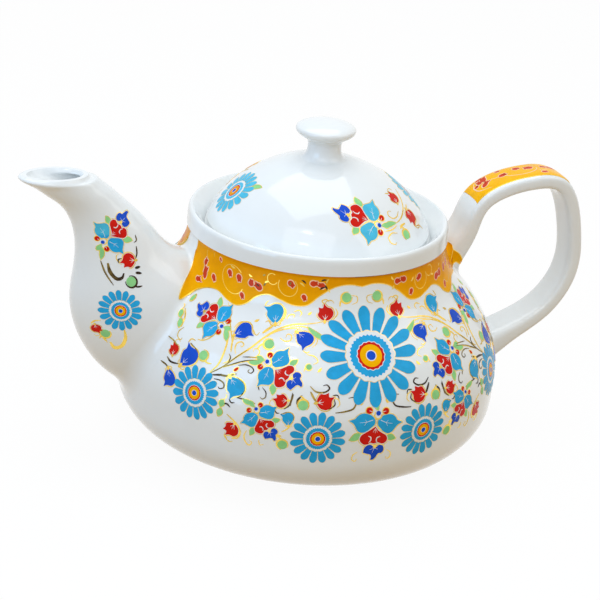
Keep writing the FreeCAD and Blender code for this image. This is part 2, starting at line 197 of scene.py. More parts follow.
def fired(name, rgb, cloud, scale, rough, bump, metallic=0.0, coat=0.0, specular=0.5, low=None, climb=()):
    """A fired finish: mottled, with a faint ripple, and another colour low down if that is given."""
    if name in bpy.data.materials:
        return bpy.data.materials[name]
    material = bpy.data.materials.new(name)
    material.use_nodes = True
    tree = material.node_tree
    shader = tree.nodes["Principled BSDF"]
    mottle, ripple = add_nodes(tree, "ShaderNodeGroup", "ShaderNodeBump")
    mottle.node_tree = mottle_group()
    fill(mottle, {"Colour": (*rgb, 1.0), "Cloud": cloud, "Scale": scale, "Rough": rough})
    if low is not None:
        tone, = add_nodes(tree, "ShaderNodeGroup")
        tone.node_tree = height_group()
        fill(tone, {"Low": (*low, 1.0), "High": (*rgb, 1.0), **dict(zip(CLIMB, climb))})
        wire(tree, (tone, "Colour", mottle, "Colour"))
    fill(ripple, {"Strength": bump, "Distance": RIPPLE_DEPTH})
    wire(tree, (mottle, "Colour", shader, "Base Color"), (mottle, "Roughness", shader, "Roughness"),
         (mottle, "Height", ripple, "Height"), (ripple, "Normal", shader, "Normal"))
    fill(shader, {"Metallic": metallic, "Coat Weight": coat, "Coat Roughness": COAT_ROUGHNESS,
                  "Specular IOR Level": specular})
    return material


# Colours that change with height: material, colours high and low, cloud, grain, roughness, ripple,
# the climb from one to the other, and what else differs
TWO_TONED = {
    # Gold darkens toward the bottom in noisy patches as painted dark reflection; the dark gold shows gold
    # patches low down as painted glints
    "gold": ("gold_lustre", "gold", "burnt", 0.3, 420.0, 0.28, 0.12, (-0.02, 0.03, 1.5, 90.0),
             {"metallic": 1.0}),
    "burnt": ("dark_gold_painted_shade_and_print", "burnt", "gold", 0.5, 420.0, 0.3, 0.12, (-0.05, 0.02, 1.9, 110.0),
              {"metallic": 0.85}),
    "orange": ("collar_orange", "orange", "amber", 0.12, 240.0, 0.22, 0.1, (0.074, 0.091, 0.4, 90.0),
               {"specular": 0.03}),
    # Petals above the lid's edge height take the paler lid colour as painted glare
    "turquoise": ("turquoise_enamel", "lid", "turquoise", 0.2, 260.0, 0.22, 0.1, (0.1005, 0.1015, 0.0, 60.0),
                  {"specular": 0.09}),
}
# Grain, roughness, ripple and sheen of the plain enamels, and their cloud
ENAMEL, SHEEN, CLOUD, PALE_CLOUD = (260.0, 0.22, 0.1), 0.09, 0.2, 0.06


def finish(name):
    """The finish of one colour of the set."""
    enamel, _, porcelain = settings()
    if name == "porcelain":
        return fired("porcelain_glaze", porcelain.white, 0.03, 34.0, 0.09, 0.04, coat=0.3)
    if name in TWO_TONED:
        label, high, low, cloud, scale, rough, bump, climb, more = TWO_TONED[name]
        return fired(label, getattr(enamel, high), cloud, scale, rough, bump, low=getattr(enamel, low),
                     climb=climb, **more)
    cloud = PALE_CLOUD if name == "pale" else CLOUD
    return fired(name + "_enamel", getattr(enamel, name), cloud, *ENAMEL, specular=SHEEN)


# Surfaces that carry the enamel

def clamped_curve(poles, samples):
    """Points on a clamped uniform cubic with the given control points."""
    poles = np.array(poles, float)
    count = len(poles)
    knots = np.concatenate([[0.0] * 3, np.arange(count - 2), [count - 3.0] * 3])
    t = np.linspace(0.0, count - 3.0 - 1e-9, samples)
    basis = [((t >= knots[i]) & (t < knots[i + 1])).astype(float) for i in range(len(knots) - 1)]
    for degree in range(1, 4):
        raised = []
        for i in range(len(knots) - 1 - degree):
            total = np.zeros_like(t)
            first, last = knots[i + degree], knots[i + degree + 1]
            if first > knots[i]:
                total += (t - knots[i]) / (first - knots[i]) * basis[i]
            if last > knots[i + 1]:
                total += (last - t) / (last - knots[i + 1]) * basis[i + 1]
            raised.append(total)
        basis = raised
    return np.stack(basis, axis=1) @ poles


def unit(rows):
    """Rows of two values, brought to length one."""
    return rows / np.maximum(np.hypot(rows[:, 0], rows[:, 1]), 1e-9)[:, None]


# Near the roots enamel is carried out toward a viewer in front: from which angle (radians), along which way,
# how far (metres), and how much higher it lies there
DRAPE_FROM, DRAPE_WAY, DRAPE_REACH, DRAPED_LIFT = 1.0, (0.32, -0.83, 0.45), 0.03, 4.0
# Least cosine at which clay faces that viewer, and the half step over which a wall's slope is taken
FACING, SLOPE_STEP = 0.1, 0.5


class TurnedSkin:
    """A turned wall: local millimetres run round it and up it from an anchor, an angle and a height."""

    def __init__(self, profile, over=()):
        self.profile, self.over = np.array(profile, float), over
        steps = np.hypot(*np.diff(self.profile, axis=0).T)
        self.lengths = np.concatenate([[0.0], np.cumsum(steps)])

    def run(self, height):
        order = np.argsort(self.profile[:, 1])
        return np.interp(height, self.profile[order, 1], self.lengths[order])

    def at(self, s):
        """Radius and height at a length along the profile."""
        s = np.clip(s, self.lengths[0], self.lengths[-1])
        return np.stack([np.interp(s, self.lengths, self.profile[:, k]) for k in range(2)], axis=-1)

    def local(self, anchor, angle, height):
        """Local millimetres of a point given by angle and height."""
        s = self.run(height)
        along = np.radians(angle - anchor[0]) * self.at(s)[..., 0]
        return np.stack([along, s - self.run(anchor[1])], axis=-1)

    def place(self, anchor, flat, flip=PLAIN):
        s = self.run(anchor[1]) + flat[:, 1]
        spot, ahead = self.at(s), unit(self.at(s + SLOPE_STEP) - self.at(s - SLOPE_STEP))
        angle = math.radians(anchor[0]) + flat[:, 0] / spot[:, 0]
        around = np.stack([np.sin(angle), -np.cos(angle)], axis=-1)
        foot = np.concatenate([around * spot[:, :1], spot[:, 1:]], axis=1) * flip
        out = np.concatenate([around * ahead[:, 1:], -ahead[:, :1]], axis=1) * flip
        higher = (flat[:, 2] > 0) & self.drape(foot, out, angle, flip)
        lift = flat[:, 2] * np.where(higher, DRAPED_LIFT, 1.0)
        return (foot + out * lift[:, None]) * MM

    def drape(self, foot, out, angle, flip):
        """Carry points near the roots out to the slip and clay that cover the wall there."""
        carried = np.zeros(len(foot), bool)
        across, ahead, up = DRAPE_WAY
        for k in np.flatnonzero(np.abs(angle) > DRAPE_FROM) if self.over else ():
            look = (Vector((math.copysign(across, angle[k]), ahead, up)) * Vector(flip)).normalized()
            start, nearest = Vector(foot[k]) * MM + look * DRAPE_REACH, DRAPE_REACH
            for tree in self.over:
                spot, normal, _, gone = tree.ray_cast(start, -look, nearest)
                if spot is not None and normal.dot(look) > FACING:
                    foot[k], out[k], carried[k], nearest = spot / MM, normal, True, gone
        return carried


def clay_tree(piece):
    """A search tree over the triangles of a piece."""
    mesh = piece.data
    mesh.calc_loop_triangles()
    corners = [vertex.co.copy() for vertex in mesh.vertices]
    return BVHTree.FromPolygons(corners, [tuple(triangle.vertices) for triangle in mesh.loop_triangles])


class CastSkin:
    """A free-form wall met by straight lines along an axis: local millimetres lie across that axis."""
    # Metres before the middle at which a line starts, and how far along it a missed wall is looked for
    START, MISSED = 0.2, 0.185

    def __init__(self, node, axes, toward, over=()):
        self.trees = [clay_tree(piece) for piece in (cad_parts[node], *over)]
        self.axes, self.toward = [Vector(axis) for axis in axes], Vector(toward)

    def local(self, anchor, a, b):
        return np.array([a - anchor[0], b - anchor[1]])

    def place(self, anchor, flat, flip=PLAIN):
        result = []
        turned = Vector(flip)
        toward = self.toward * turned
        for a, b, lift in flat:
            spot = (self.axes[0] * (anchor[0] + a) + self.axes[1] * (anchor[1] + b)) * MM
            start = spot - self.toward * self.START
            hits = [tree.ray_cast(start * turned, toward) for tree in self.trees]
            hits = [hit for hit in hits if hit[0] is not None]
            if not hits:
                hits = [self.trees[0].find_nearest((start + self.toward * self.MISSED) * turned)]
            spot, normal, _, _ = min(hits, key=lambda hit: hit[3])
            if normal.dot(toward) > 0:
                normal = -normal
            result.append(spot + normal * lift * MM)
        return np.array(result)


WALL = [
    (52.0, 3.2), (70.73, 4.33), (83.78, 16.54), (83.62, 28.48), (85.21, 47.0), (69.32, 73.23),
    (58.83, 78.49), (55.5, 94.0),
]
STEP = [(55.5, 94.0), (55.61, 95.44), (56.6, 95.6)]
DOME = [(9.6, 127.1), (26.196, 124.146), (41.693, 112.328), (48.2, 98.2)]
WALL_SAMPLES, DOME_SAMPLES = 400, 200


def body_skin():
    """The wall up to the step below the collar, with the slip at the roots over it where that is laid."""
    t, step = np.linspace(0.1, 1.0, 10)[:, None], np.array(STEP)
    curve = step[0] * (1 - t) ** 2 + step[1] * 2 * t * (1 - t) + step[2] * t ** 2
    names = ("spout_root_slip", "handle_upper_slip", "handle_lower_slip")
    pieces = [bpy.data.objects[name] for name in names if name in bpy.data.objects]
    over = [clay_tree(piece) for piece in pieces + [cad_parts["spout"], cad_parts["handle"]]]
    return TurnedSkin(np.concatenate([clamped_curve(WALL, WALL_SAMPLES), curve]), over)


def lid_skin():
    return TurnedSkin(clamped_curve(DOME, DOME_SAMPLES)[::-1])


# Enamel shapes: flat and closed, in millimetres, with a height above the glaze

class Sheet:
    """Flat closed shapes of several colours."""

    def __init__(self):
        self.parts = {}

    def add(self, tone, verts, faces):
        store = self.parts.setdefault(tone, ([], []))
        base = sum(len(block) for block in store[0])
        store[0].append(np.array(verts, float))
        store[1].extend([tuple(base + k for k in face) for face in faces])

    def merge(self, other, turn=0.0, scale=1.0, shift=(0.0, 0.0), mirror=False):
        cosine, sine = math.cos(math.radians(turn)), math.sin(math.radians(turn))
        for tone, (blocks, faces) in other.parts.items():
            verts = np.concatenate(blocks)
            a, b = verts[:, 0] * scale * (-1 if mirror else 1), verts[:, 1] * scale
            along, up = a * cosine - b * sine + shift[0], a * sine + b * cosine + shift[1]
            moved = np.stack([along, up, verts[:, 2]], axis=-1)
            self.add(tone, moved, [face[::-1] for face in faces] if mirror else faces)


# Heights of the colours in lifts, the depth of every shape in the glaze, and the longest step across one
LEVEL = {
    "gold": 1.0, "burnt": 1.0, "pale": 1.5, "orange": 1.0, "amber": 1.0, "turquoise": 1.2, "cobalt": 1.25,
    "red": 1.3, "green": 1.15, "rust": 1.7, "blush": 1.4,
}
SUNK, STEP_ACROSS = -0.1, 1.6
# Least half width of a stroke, and samples along a leaf and a curl
THINNEST, LEAF_SAMPLES, CURL_SAMPLES = 0.012, 13, 22
# How a tendril swells along its length
SWELL_AT, SWELL = (0.0, 0.25, 0.7, 1.0), (0.45, 1.0, 0.9, 0.35)


def height_of(tone, level=None):
    return settings()[0].lift / MM * (LEVEL[tone] if level is None else level)


def smooth_line(points, samples, closed=False):
    """A smooth line through the points."""
    points = np.array(points, float)
    if len(points) == 2:
        return points[0] + np.linspace(0, 1, samples)[:, None] * (points[1] - points[0])
    if closed:
        points = np.concatenate([points[-2:], points, points[:3]])
    knots = np.concatenate([[0.0], np.cumsum(np.sqrt(np.hypot(*np.diff(points, axis=0).T)))])
    slopes = np.gradient(points, knots, axis=0)
    first, last = (knots[2], knots[-3]) if closed else (0.0, knots[-1])
    t = np.linspace(first, last, samples, endpoint=not closed)
    i = np.clip(np.searchsorted(knots, t, side="right") - 1, 0, len(points) - 2)
    h = (knots[i + 1] - knots[i])[:, None]
    u = (t[:, None] - knots[i][:, None]) / h
    return ((2 * u**3 - 3 * u**2 + 1) * points[i] + (u**3 - 2 * u**2 + u) * h * slopes[i]
            + (3 * u**2 - 2 * u**3) * points[i + 1] + (u**3 - u**2) * h * slopes[i + 1])


def smooth_ring(points, samples=40):
    """A closed smooth outline through the points; a third value marks a sharp corner."""
    corners = [i for i, point in enumerate(points) if len(point) > 2]
    plain = [point[:2] for point in points]
    pieces = []
    for first, last in zip(corners, corners[1:] + [corners[0] + len(plain)]):
        run = [plain[i % len(plain)] for i in range(first, last + 1)]
        pieces.append(smooth_line(run, max(4, round(samples * (last - first) / len(plain))))[:-1])
    return np.concatenate(pieces)


def offset(outline, away):
    """A closed outline moved outward."""
    after = np.roll(outline, -1, axis=0)
    ahead = unit(after - np.roll(outline, 1, axis=0))
    area = np.sum(outline[:, 0] * after[:, 1] - after[:, 0] * outline[:, 1])
    return outline + np.stack([ahead[:, 1], -ahead[:, 0]], -1) * away * np.sign(area)


def tube_faces(count, row, closed):
    """Faces round a run of equal rings of points, joined to a loop when closed and capped when not."""
    faces = []
    for i in range(count if closed else count - 1):
        j = (i + 1) % count
        for k in range(row):
            n = (k + 1) % row
            faces.append((i * row + k, j * row + k, j * row + n, i * row + n))
    if not closed:
        faces.append(tuple(range(row)))
        faces.append(tuple((count - 1) * row + k for k in reversed(range(row))))
    return faces


def patch(sheet, tone, outline, centre, level=None):
    """A flat filled shape, the whole of it in sight of its centre."""
    lift, count = height_of(tone, level), len(outline)
    centre = np.array(centre, float)
    reach = np.hypot(*(outline - centre).T).max()
    shares = np.linspace(1.0, 0.0, max(2, math.ceil(reach / STEP_ACROSS)) + 1)[:-1]
    verts = [(*centre, SUNK)] + [(*spot, SUNK) for spot in outline]
    for share in shares:
        verts += [(*(centre + share * (spot - centre)), lift) for spot in outline]
    verts.append((*centre, lift))
    faces = []
    for k in range(count):
        n = (k + 1) % count
        faces.append((0, 1 + n, 1 + k))
        for ring in range(len(shares)):
            low, high = 1 + ring * count, 1 + (ring + 1) * count
            faces.append((low + k, low + n, high + n, high + k))
        last = 1 + len(shares) * count
        faces.append((last + k, last + n, len(verts) - 1))
    sheet.add(tone, verts, faces)


def stroke(sheet, tone, line, half, level=None, cross=2, closed=False):
    """A flat ribbon along a line with a half width at each point."""
    lift = height_of(tone, level)
    line = np.array(line, float)
    half = np.maximum(np.array(half, float) * np.ones(len(line)), THINNEST)
    ahead = np.roll(line, -1, axis=0) - np.roll(line, 1, axis=0) if closed else np.gradient(line, axis=0)
    ahead = unit(ahead)
    side = np.stack([-ahead[:, 1], ahead[:, 0]], axis=-1)
    across = [(q, lift) for q in np.linspace(-1.0, 1.0, cross + 1)] + [(1.0, SUNK), (-1.0, SUNK)]
    verts = []
    for spot, away, width in zip(line, side, half):
        verts += [(*(spot + away * width * q), height) for q, height in across]
    sheet.add(tone, verts, tube_faces(len(line), len(across), closed))


def tendril(sheet, points, width, tone="gold", level=None):
    """A drawn line that swells in the middle and thins to its ends."""
    samples = max(8, 6 * (len(points) - 1))
    line = smooth_line(points, samples)
    share = np.interp(np.linspace(0, 1, samples), SWELL_AT, SWELL)
    stroke(sheet, tone, line, share * width / 2, level)


def edging(sheet, outline, first=0.0, last=1.0, away=0.45, width=0.34):
    """A gold line that follows part of an outline a little way off."""
    count = len(outline)
    line = offset(outline, away)
    if last - first >= 1.0:
        stroke(sheet, "gold", line, width / 2, closed=True)
        return
    picked = [line[i % count] for i in range(round(first * count), round(last * count) + 1)]
    share = np.sin(np.linspace(0.12, 0.94, len(picked)) * math.pi) ** 0.6
    stroke(sheet, "gold", picked, share * width * 0.62)


def leaf(sheet, tone, start, tip, width, bend=0.0, peak=0.45, blunt=0.8, edge=True, level=None):
    """A petal, leaf or lobe from its start to its tip, with a gold line round it."""
    start, tip = np.array(start, float), np.array(tip, float)
    along = tip - start
    side = np.array([-along[1], along[0]])
    t = np.linspace(0, 1, LEAF_SAMPLES)
    wide = np.sin(np.pi * t ** (math.log(0.5) / math.log(peak))) ** blunt

    def spine(first, last):
        return first + t[:, None] * (last - first) + (4 * t * (1 - t))[:, None] * side * bend

    stroke(sheet, tone, spine(start, tip), wide * width / 2, level, cross=4)
    if edge:
        rim = settings()[0].edge / MM
        grow = along / max(np.hypot(*along), 1e-9) * rim * 1.4
        stroke(sheet, "gold", spine(start - grow, tip + grow), wide * (width / 2 + rim))


def disc(sheet, tone, centre, radius, inner=0.0, waves=0, depth=0.0, level=None, samples=40):
    """A disc or ring, plain or scalloped."""
    lift = height_of(tone, level)
    angles = np.linspace(0, 2 * math.pi, samples, endpoint=False)
    outer, inner = radius * (1.0 + depth * np.cos(waves * angles)), max(inner, 0.02)
    shares = np.linspace(0.0, 1.0, max(1, math.ceil((radius - inner) / STEP_ACROSS)) + 1)
    rings = [(0.0, SUNK)] + [(share, lift) for share in shares] + [(1.0, SUNK)]
    verts, faces = [], []
    for share, height in rings:
        for r, a in zip(inner + share * (outer - inner), angles):
            verts.append((centre[0] + r * math.cos(a), centre[1] + r * math.sin(a), height))
    for i in range(len(rings)):
        j = (i + 1) % len(rings)
        for k in range(samples):
            n = (k + 1) % samples
            faces.append((i * samples + k, i * samples + n, j * samples + n, j * samples + k))
    sheet.add(tone, verts, faces)


def curl(sheet, start, heading, length, turns, width):
    """A gold tendril that sets out straight and winds in on itself."""
    t = np.linspace(0, 1, CURL_SAMPLES)
    angle = math.radians(heading) + turns * 2 * math.pi * t**2.0
    step = length / CURL_SAMPLES * (1 - 0.55 * t)
    steps = np.stack([np.cos(angle), np.sin(angle)], -1) * step[:, None]
    half = width / 2 * (0.4 + 0.6 * np.sin(np.pi * np.clip(t * 0.9 + 0.08, 0, 1)))
    stroke(sheet, "gold", np.array(start, float) + np.cumsum(steps, axis=0), half)


# Motifs

def ring_tree():
    """Copies of one flat shape turned round the origin."""
    if "Ring of petals" in bpy.data.node_groups:
        return bpy.data.node_groups["Ring of petals"]
    tree = new_group("Ring of petals", "GeometryNodeTree",
                     (("Geometry", "Geometry", None), ("Count", "Int", 16), ("Material", "Material", None)),
                     (("Geometry", "Geometry", None),))
    given, result, single, copies, turn, spin, plain, paint = add_nodes(
        tree, "NodeGroupInput", "NodeGroupOutput", "GeometryNodeGeometryToInstance",
        "GeometryNodeDuplicateElements", "GeometryNodeRotateInstances", "ShaderNodeCombineXYZ",
        "GeometryNodeRealizeInstances", "GeometryNodeSetMaterial")
    copies.domain = "INSTANCE"
    step, full = maths(tree, "DIVIDE", {0: 2 * math.pi}), maths(tree, "MULTIPLY", {})
    fill(turn, {"Local Space": False})
    wire(tree, (given, "Geometry", single, 0), (single, 0, copies, "Geometry"),
         (given, "Count", copies, "Amount"), (given, "Count", step, 1), (step, 0, full, 0),
         (copies, "Duplicate Index", full, 1), (full, 0, spin, "Z"), (copies, "Geometry", turn, "Instances"),
         (spin, 0, turn, "Rotation"), (turn, 0, plain, 0), (plain, 0, paint, "Geometry"),
         (given, "Material", paint, "Material"), (paint, 0, result, 0))
    return tree


def ring_of(seed, count):
    """A flat shape repeated round the origin by the node tree."""
    ringed, tree = Sheet(), ring_tree()
    names = {item.name: item.identifier for item in tree.interface.items_tree if item.in_out == "INPUT"}
    for tone, (blocks, faces) in seed.parts.items():
        mesh = bpy.data.meshes.new("petal")
        mesh.from_pydata([tuple(v) for v in np.concatenate(blocks)], [], faces)
        petal = bpy.data.objects.new("petal", mesh)
        bpy.context.scene.collection.objects.link(petal)
        modifier = petal.modifiers.new("ring", "NODES")
        modifier.node_group = tree
        modifier[names["Count"]] = count
        modifier[names["Material"]] = finish(tone)
        grown = bpy.data.meshes.new_from_object(petal.evaluated_get(bpy.context.evaluated_depsgraph_get()))
        ringed.add(tone, [tuple(v.co) for v in grown.vertices], [tuple(p.vertices) for p in grown.polygons])
        bpy.data.objects.remove(petal)
        bpy.data.meshes.remove(grown)
        bpy.data.meshes.remove(mesh)
    return ringed


# Rings of a rosette's eye: colour, share of the radius, waves for each petal and their depth
EYE = [
    ("gold", 0.511, 1, 0.022), ("pale", 0.501, 1, 0.022), ("turquoise", 0.415, 2, 0.035),
    ("pale", 0.286, 1, 0.03), ("red", 0.272, 1, 0.03), ("orange", 0.222, 0, 0.0), ("pale", 0.106, 0, 0.0),
    ("cobalt", 0.090, 0, 0.0),
]
EYE_LEVEL, EYE_RISE = 1.3, 1.2
# Shares of the radius: where petals start, round off and are widest, and their line's gap and half width
PETAL_START, PETAL_ROUND, PETAL_WIDEST, PETAL_GAP, PETAL_LINE = 0.50, 0.78, 0.86, 0.0036, 0.0022


def rosette(radius, width=0.92):
    """A many-petalled flower with a ringed eye, its petals filling a share of the width they have."""
    count, samples = settings()[1].petals, 15
    seed = Sheet()
    t = 1.0 - (1.0 - np.linspace(0, 1, samples)) ** 1.7
    reach = PETAL_START + t * (1.0 - PETAL_START)
    past = np.clip((reach - PETAL_ROUND) / (1.0 - PETAL_ROUND), 0, 1)
    round_end = np.sqrt(np.clip(1.0 - past ** 2, 0, 1))
    half = math.pi / count * np.minimum(reach, PETAL_WIDEST) * (width - 0.08 * t) * round_end
    stroke(seed, "turquoise", np.stack([reach * radius, np.zeros(samples)], -1), half * radius, cross=4)
    side = np.stack([reach * radius, half * radius], -1)
    outline = offset(np.concatenate([side[:-1], (side * (1, -1))[::-1]]), PETAL_GAP * radius)
    stroke(seed, "gold", outline, PETAL_LINE * radius, closed=True)
    sheet = ring_of(seed, count)
    largest, smallest = EYE[0][1], EYE[-1][1]
    for tone, size, waves, depth in EYE:
        level = EYE_LEVEL + EYE_RISE * (largest - size) / (largest - smallest)
        disc(sheet, tone, (0, 0), radius * size, waves=count * waves, depth=depth, level=level,
             samples=128 if waves else 40)
    return sheet


def fork(sheet, root, tips, width=0.26, level=1.6):
    """Pale veins that fan out from a root."""
    for tip in tips:
        stroke(sheet, "pale", smooth_line([root, tip], 6), np.linspace(width / 2, width / 5, 6), level)


WING = [
    (0.8, -2.6), (2.2, -1.1), (4.2, -0.4), (6.4, -0.5), (8.0, -1.5), (8.9, -2.7), (11.4, -3.7, 1),
    (9.5, -4.6), (8.4, -6.0), (7.2, -7.6), (5.6, -8.2), (3.8, -7.6), (2.2, -6.2), (0.7, -4.5),
]
HEART = [
    (-0.2, -5.4, 1), (1.2, -6.9), (3.3, -8.1), (5.1, -9.2), (5.8, -10.8), (5.3, -12.1), (3.9, -12.7),
    (2.1, -12.1), (1.3, -12.4), (0.2, -12.7), (-1.1, -12.3), (-1.9, -13.0), (-3.5, -13.3), (-5.2, -12.2),
    (-5.9, -10.9), (-5.5, -9.4), (-4.1, -8.2), (-2.2, -6.9),
]
TREFOIL = [
    (-3.1, -16.9, 1), (-3.1, -15.1), (-2.3, -13.8), (-1.2, -13.3), (0.2, -13.8), (1.3, -14.8),
    (2.4, -13.7), (3.1, -13.3), (4.3, -13.5), (5.0, -14.4), (5.2, -15.7), (4.6, -16.8), (3.4, -17.0),
    (2.9, -17.7), (2.5, -18.8), (1.6, -19.9), (0.6, -20.0, 1), (0.7, -18.8), (0.1, -17.7), (-1.1, -17.4),
]


def orchid():
    """A spray flower hanging from its eye: two broad petals, a swirled heart, a trefoil and leaves."""
    sheet = Sheet()
    leaf(sheet, "green", (-6.2, -8.4), (-10.0, -11.6), 3.0, bend=0.1, peak=0.42)
    leaf(sheet, "green", (5.6, -8.8), (9.6, -10.4), 2.7, bend=-0.1, peak=0.42)
    for side in (-1, 1):
        outline = smooth_ring([(side * point[0], *point[1:]) for point in WING], 46)
        patch(sheet, "turquoise", outline, (side * 5.4, -4.2))
        edging(sheet, outline, away=0.3, width=0.26)
        vein = smooth_line([(side * 1.6, -2.7), (side * 4.2, -3.7), (side * 6.9, -4.1)], 12)
        stroke(sheet, "pale", vein, np.linspace(0.11, 0.04, 12), 1.6)
        fork(sheet, (side * 4.1, -3.6), ((side * 4.9, -2.8), (side * 4.9, -5.1)), width=0.15)
        swirl = ((2.5, -9.5), (1.4, -10.0), (1.2, -11.2), (1.8, -12.3))
        tendril(sheet, [(side * a, b) for a, b in swirl], 0.5, "pale", 1.7)
        spot = (side * 3.5, 0.9)
        disc(sheet, "gold", spot, 1.65, inner=1.2, samples=24)
        disc(sheet, "red", spot, 1.3, samples=20)
        fork(sheet, (side * 2.4, 0.6), (spot,), width=0.3)
    outline = smooth_ring(HEART, 60)
    edging(sheet, outline, away=0.55, width=0.2)
    patch(sheet, "pale", offset(outline, 0.3), (0.0, -9.8), level=1.25)
    patch(sheet, "red", outline, (0.0, -9.8), level=1.4)
    fork(sheet, (-0.1, -6.1), ((0.1, -8.2), (-0.9, -7.8), (1.0, -7.8)), width=0.2, level=1.7)
    outline = smooth_ring(TREFOIL, 60)
    edging(sheet, outline, away=0.35, width=0.26)
    patch(sheet, "cobalt", outline, (1.0, -16.0), level=1.45)
    fork(sheet, (1.1, -14.7), ((0.6, -17.0), (-0.8, -15.5), (2.8, -15.2)), width=0.18, level=1.75)
    disc(sheet, "gold", (1.2, -13.9), 0.75, waves=5, depth=0.35, level=1.8, samples=30)
    disc(sheet, "pale", (0.4, -1.0), 1.1, level=1.5, samples=24)
    hook = smooth_line([(-1.0, 0.6), (-1.0, -1.4), (0.3, -2.3), (1.7, -1.5), (1.9, -0.3)], 20)
    stroke(sheet, "gold", hook, 0.14 + 0.18 * np.sin(np.linspace(0, math.pi, 20)), 1.7)
    disc(sheet, "cobalt", (0.4, 0.0), 0.95, level=1.8, samples=24)
    leaf(sheet, "green", (0.3, 1.0), (-0.8, 5.4), 2.5, bend=0.08, peak=0.6)
    return sheet


BELL = [
    (0.0, 0.0, 1), (1.1, 0.9), (3.0, 3.0), (4.0, 6.0), (2.8, 8.5), (0.4, 9.1), (-2.6, 8.1),
    (-4.9, 8.3, 1), (-3.4, 6.2), (-3.6, 4.4), (-1.7, 1.5),
]
TULIP = [
    (0.0, 0.0, 1), (2.4, 1.0), (3.6, 3.3), (2.7, 5.4), (0.8, 6.0), (-0.6, 7.4, 1), (-1.1, 5.4),
    (-2.8, 5.6, 1), (-2.5, 3.8), (-3.0, 2.4), (-1.6, 0.8),
]


def bell(tone):
    """A bell bud with a turned-out beak, its base at the origin."""
    sheet = Sheet()
    outline = smooth_ring(BELL, 42)
    patch(sheet, tone, outline, (0.2, 5.0))
    edging(sheet, outline, 0.0, 0.62, width=0.46)
    edging(sheet, outline, 0.74, 0.98, width=0.28)
    fork(sheet, (0.2, 1.6), ((0.4, 4.2), (1.6, 3.5), (-0.9, 3.2)), width=0.2)
    leaf(sheet, "gold", (0.0, -1.4), (0.2, 1.3), 1.5, edge=False, level=1.6)
    tendril(sheet, [(0.1, -0.4), (1.6, -0.7), (2.5, 0.2), (2.0, 1.0)], 0.42)
    tendril(sheet, [(-0.1, -0.4), (-1.6, -0.3), (-2.2, 0.8)], 0.38)
    return sheet


def tulip():
    """A round red bud with two points and pale veins, its base at the origin."""
    sheet = Sheet()
    outline = smooth_ring(TULIP, 42)
    patch(sheet, "red", outline, (0.2, 3.2))
    edging(sheet, outline, 0.0, 0.52)
    edging(sheet, outline, 0.76, 0.98, width=0.28)
    fork(sheet, (0.1, 0.8), ((0.3, 2.9), (1.3, 2.3), (-0.9, 2.2)))
    tendril(sheet, [(-0.4, 7.2), (0.6, 8.6), (2.6, 8.8), (3.6, 7.6)], 0.40)
    leaf(sheet, "gold", (0.0, -1.2), (0.1, 0.9), 1.2, edge=False, level=1.6)
    return sheet


def way(heading):
    """The direction of a heading in degrees."""
    return np.array([math.cos(math.radians(heading)), math.sin(math.radians(heading))])


def green_bud(heading, length, tone="gold"):
    """A round green bud in a crescent whose tail runs out along the heading."""
    sheet = Sheet()
    disc(sheet, "green", (0, 0), 2.0, samples=28)
    angles = math.radians(heading) + np.linspace(-2.6, 2.5, 30)
    ring = np.stack([np.cos(angles), np.sin(angles)], -1) * 2.3
    stroke(sheet, tone, ring, 0.16 + 0.34 * np.sin(np.linspace(0, math.pi, 30)) ** 2)
    ahead = way(heading)
    side = np.array([-ahead[1], ahead[0]])
    tail = [ahead * 2.3 - side * 0.8, ahead * (length * 0.75) - side * 0.2, ahead * length + side * 0.9]
    tendril(sheet, tail, 0.75, tone)
    return sheet


def leaf_pair(heading, apart):
    """Two green leaflets in line, with a gold hook."""
    sheet, ahead = Sheet(), way(heading)
    leaf(sheet, "green", ahead * 0.2, ahead * apart * 0.98, 2.5, bend=0.08, peak=0.5)
    leaf(sheet, "green", -ahead * 0.2, -ahead * apart * 0.9, 2.6, bend=0.08, peak=0.5)
    curl(sheet, -ahead * apart * 0.9, heading + 150, 4.0, turns=0.35, width=0.4)
    return sheet


# Laying and building

class Kiln(Sheet):
    """Enamel laid on a skin and fired into one closed mesh for each colour."""

    def use(self, skin, flip=PLAIN):
        self.skin, self.flip = skin, flip

    def lay(self, sheet, anchor, turn=0.0, scale=1.0, mirror=False):
        moved = Sheet()
        moved.merge(sheet, turn, scale, mirror=mirror)
        for tone, (blocks, faces) in moved.parts.items():
            self.add(tone, self.skin.place(anchor, np.concatenate(blocks), self.flip), faces)

    def draw(self, points, width, tone="gold", level=None):
        """A tendril through points given in the skin's own measures."""
        sheet = Sheet()
        tendril(sheet, [self.skin.local(points[0], *point) for point in points], width, tone, level)
        self.lay(sheet, points[0])

    def sprig(self, tone, anchor, tip, width, bend):
        """A leaf from its anchor to a tip in local millimetres, edged unless it is gold."""
        sheet = Sheet()
        leaf(sheet, tone, (0, 0), tip, width, bend, edge=tone != "gold")
        self.lay(sheet, anchor)

    def fire(self, prefix, body):
        made = []
        for tone, (blocks, faces) in sorted(self.parts.items()):
            piece = build(prefix + "_" + tone, np.concatenate(blocks), faces, finish(tone))
            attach(piece, body)
            made.append(piece)
        return made


SHARP = math.radians(38)


def build(name, points, faces, material, smooth=True):
    mesh = bpy.data.meshes.new(name)
    mesh.from_pydata([tuple(p) for p in points], [], [tuple(f) for f in faces])
    work = bmesh.new()
    work.from_mesh(mesh)
    bmesh.ops.recalc_face_normals(work, faces=work.faces)
    work.to_mesh(mesh)
    work.free()
    mesh.polygons.foreach_set("use_smooth", [smooth] * len(mesh.polygons))
    mesh.set_sharp_from_angle(angle=SHARP)
    mesh.materials.append(material)
    mesh.update()
    piece = bpy.data.objects.new(name, mesh)
    bpy.context.scene.collection.objects.link(piece)
    return piece


# Levels of drawn lines, of touches, of a bud and of the line round it
LINE, TOUCH, BUD, BUD_LINE = 1.3, 1.8, 1.7, 1.4
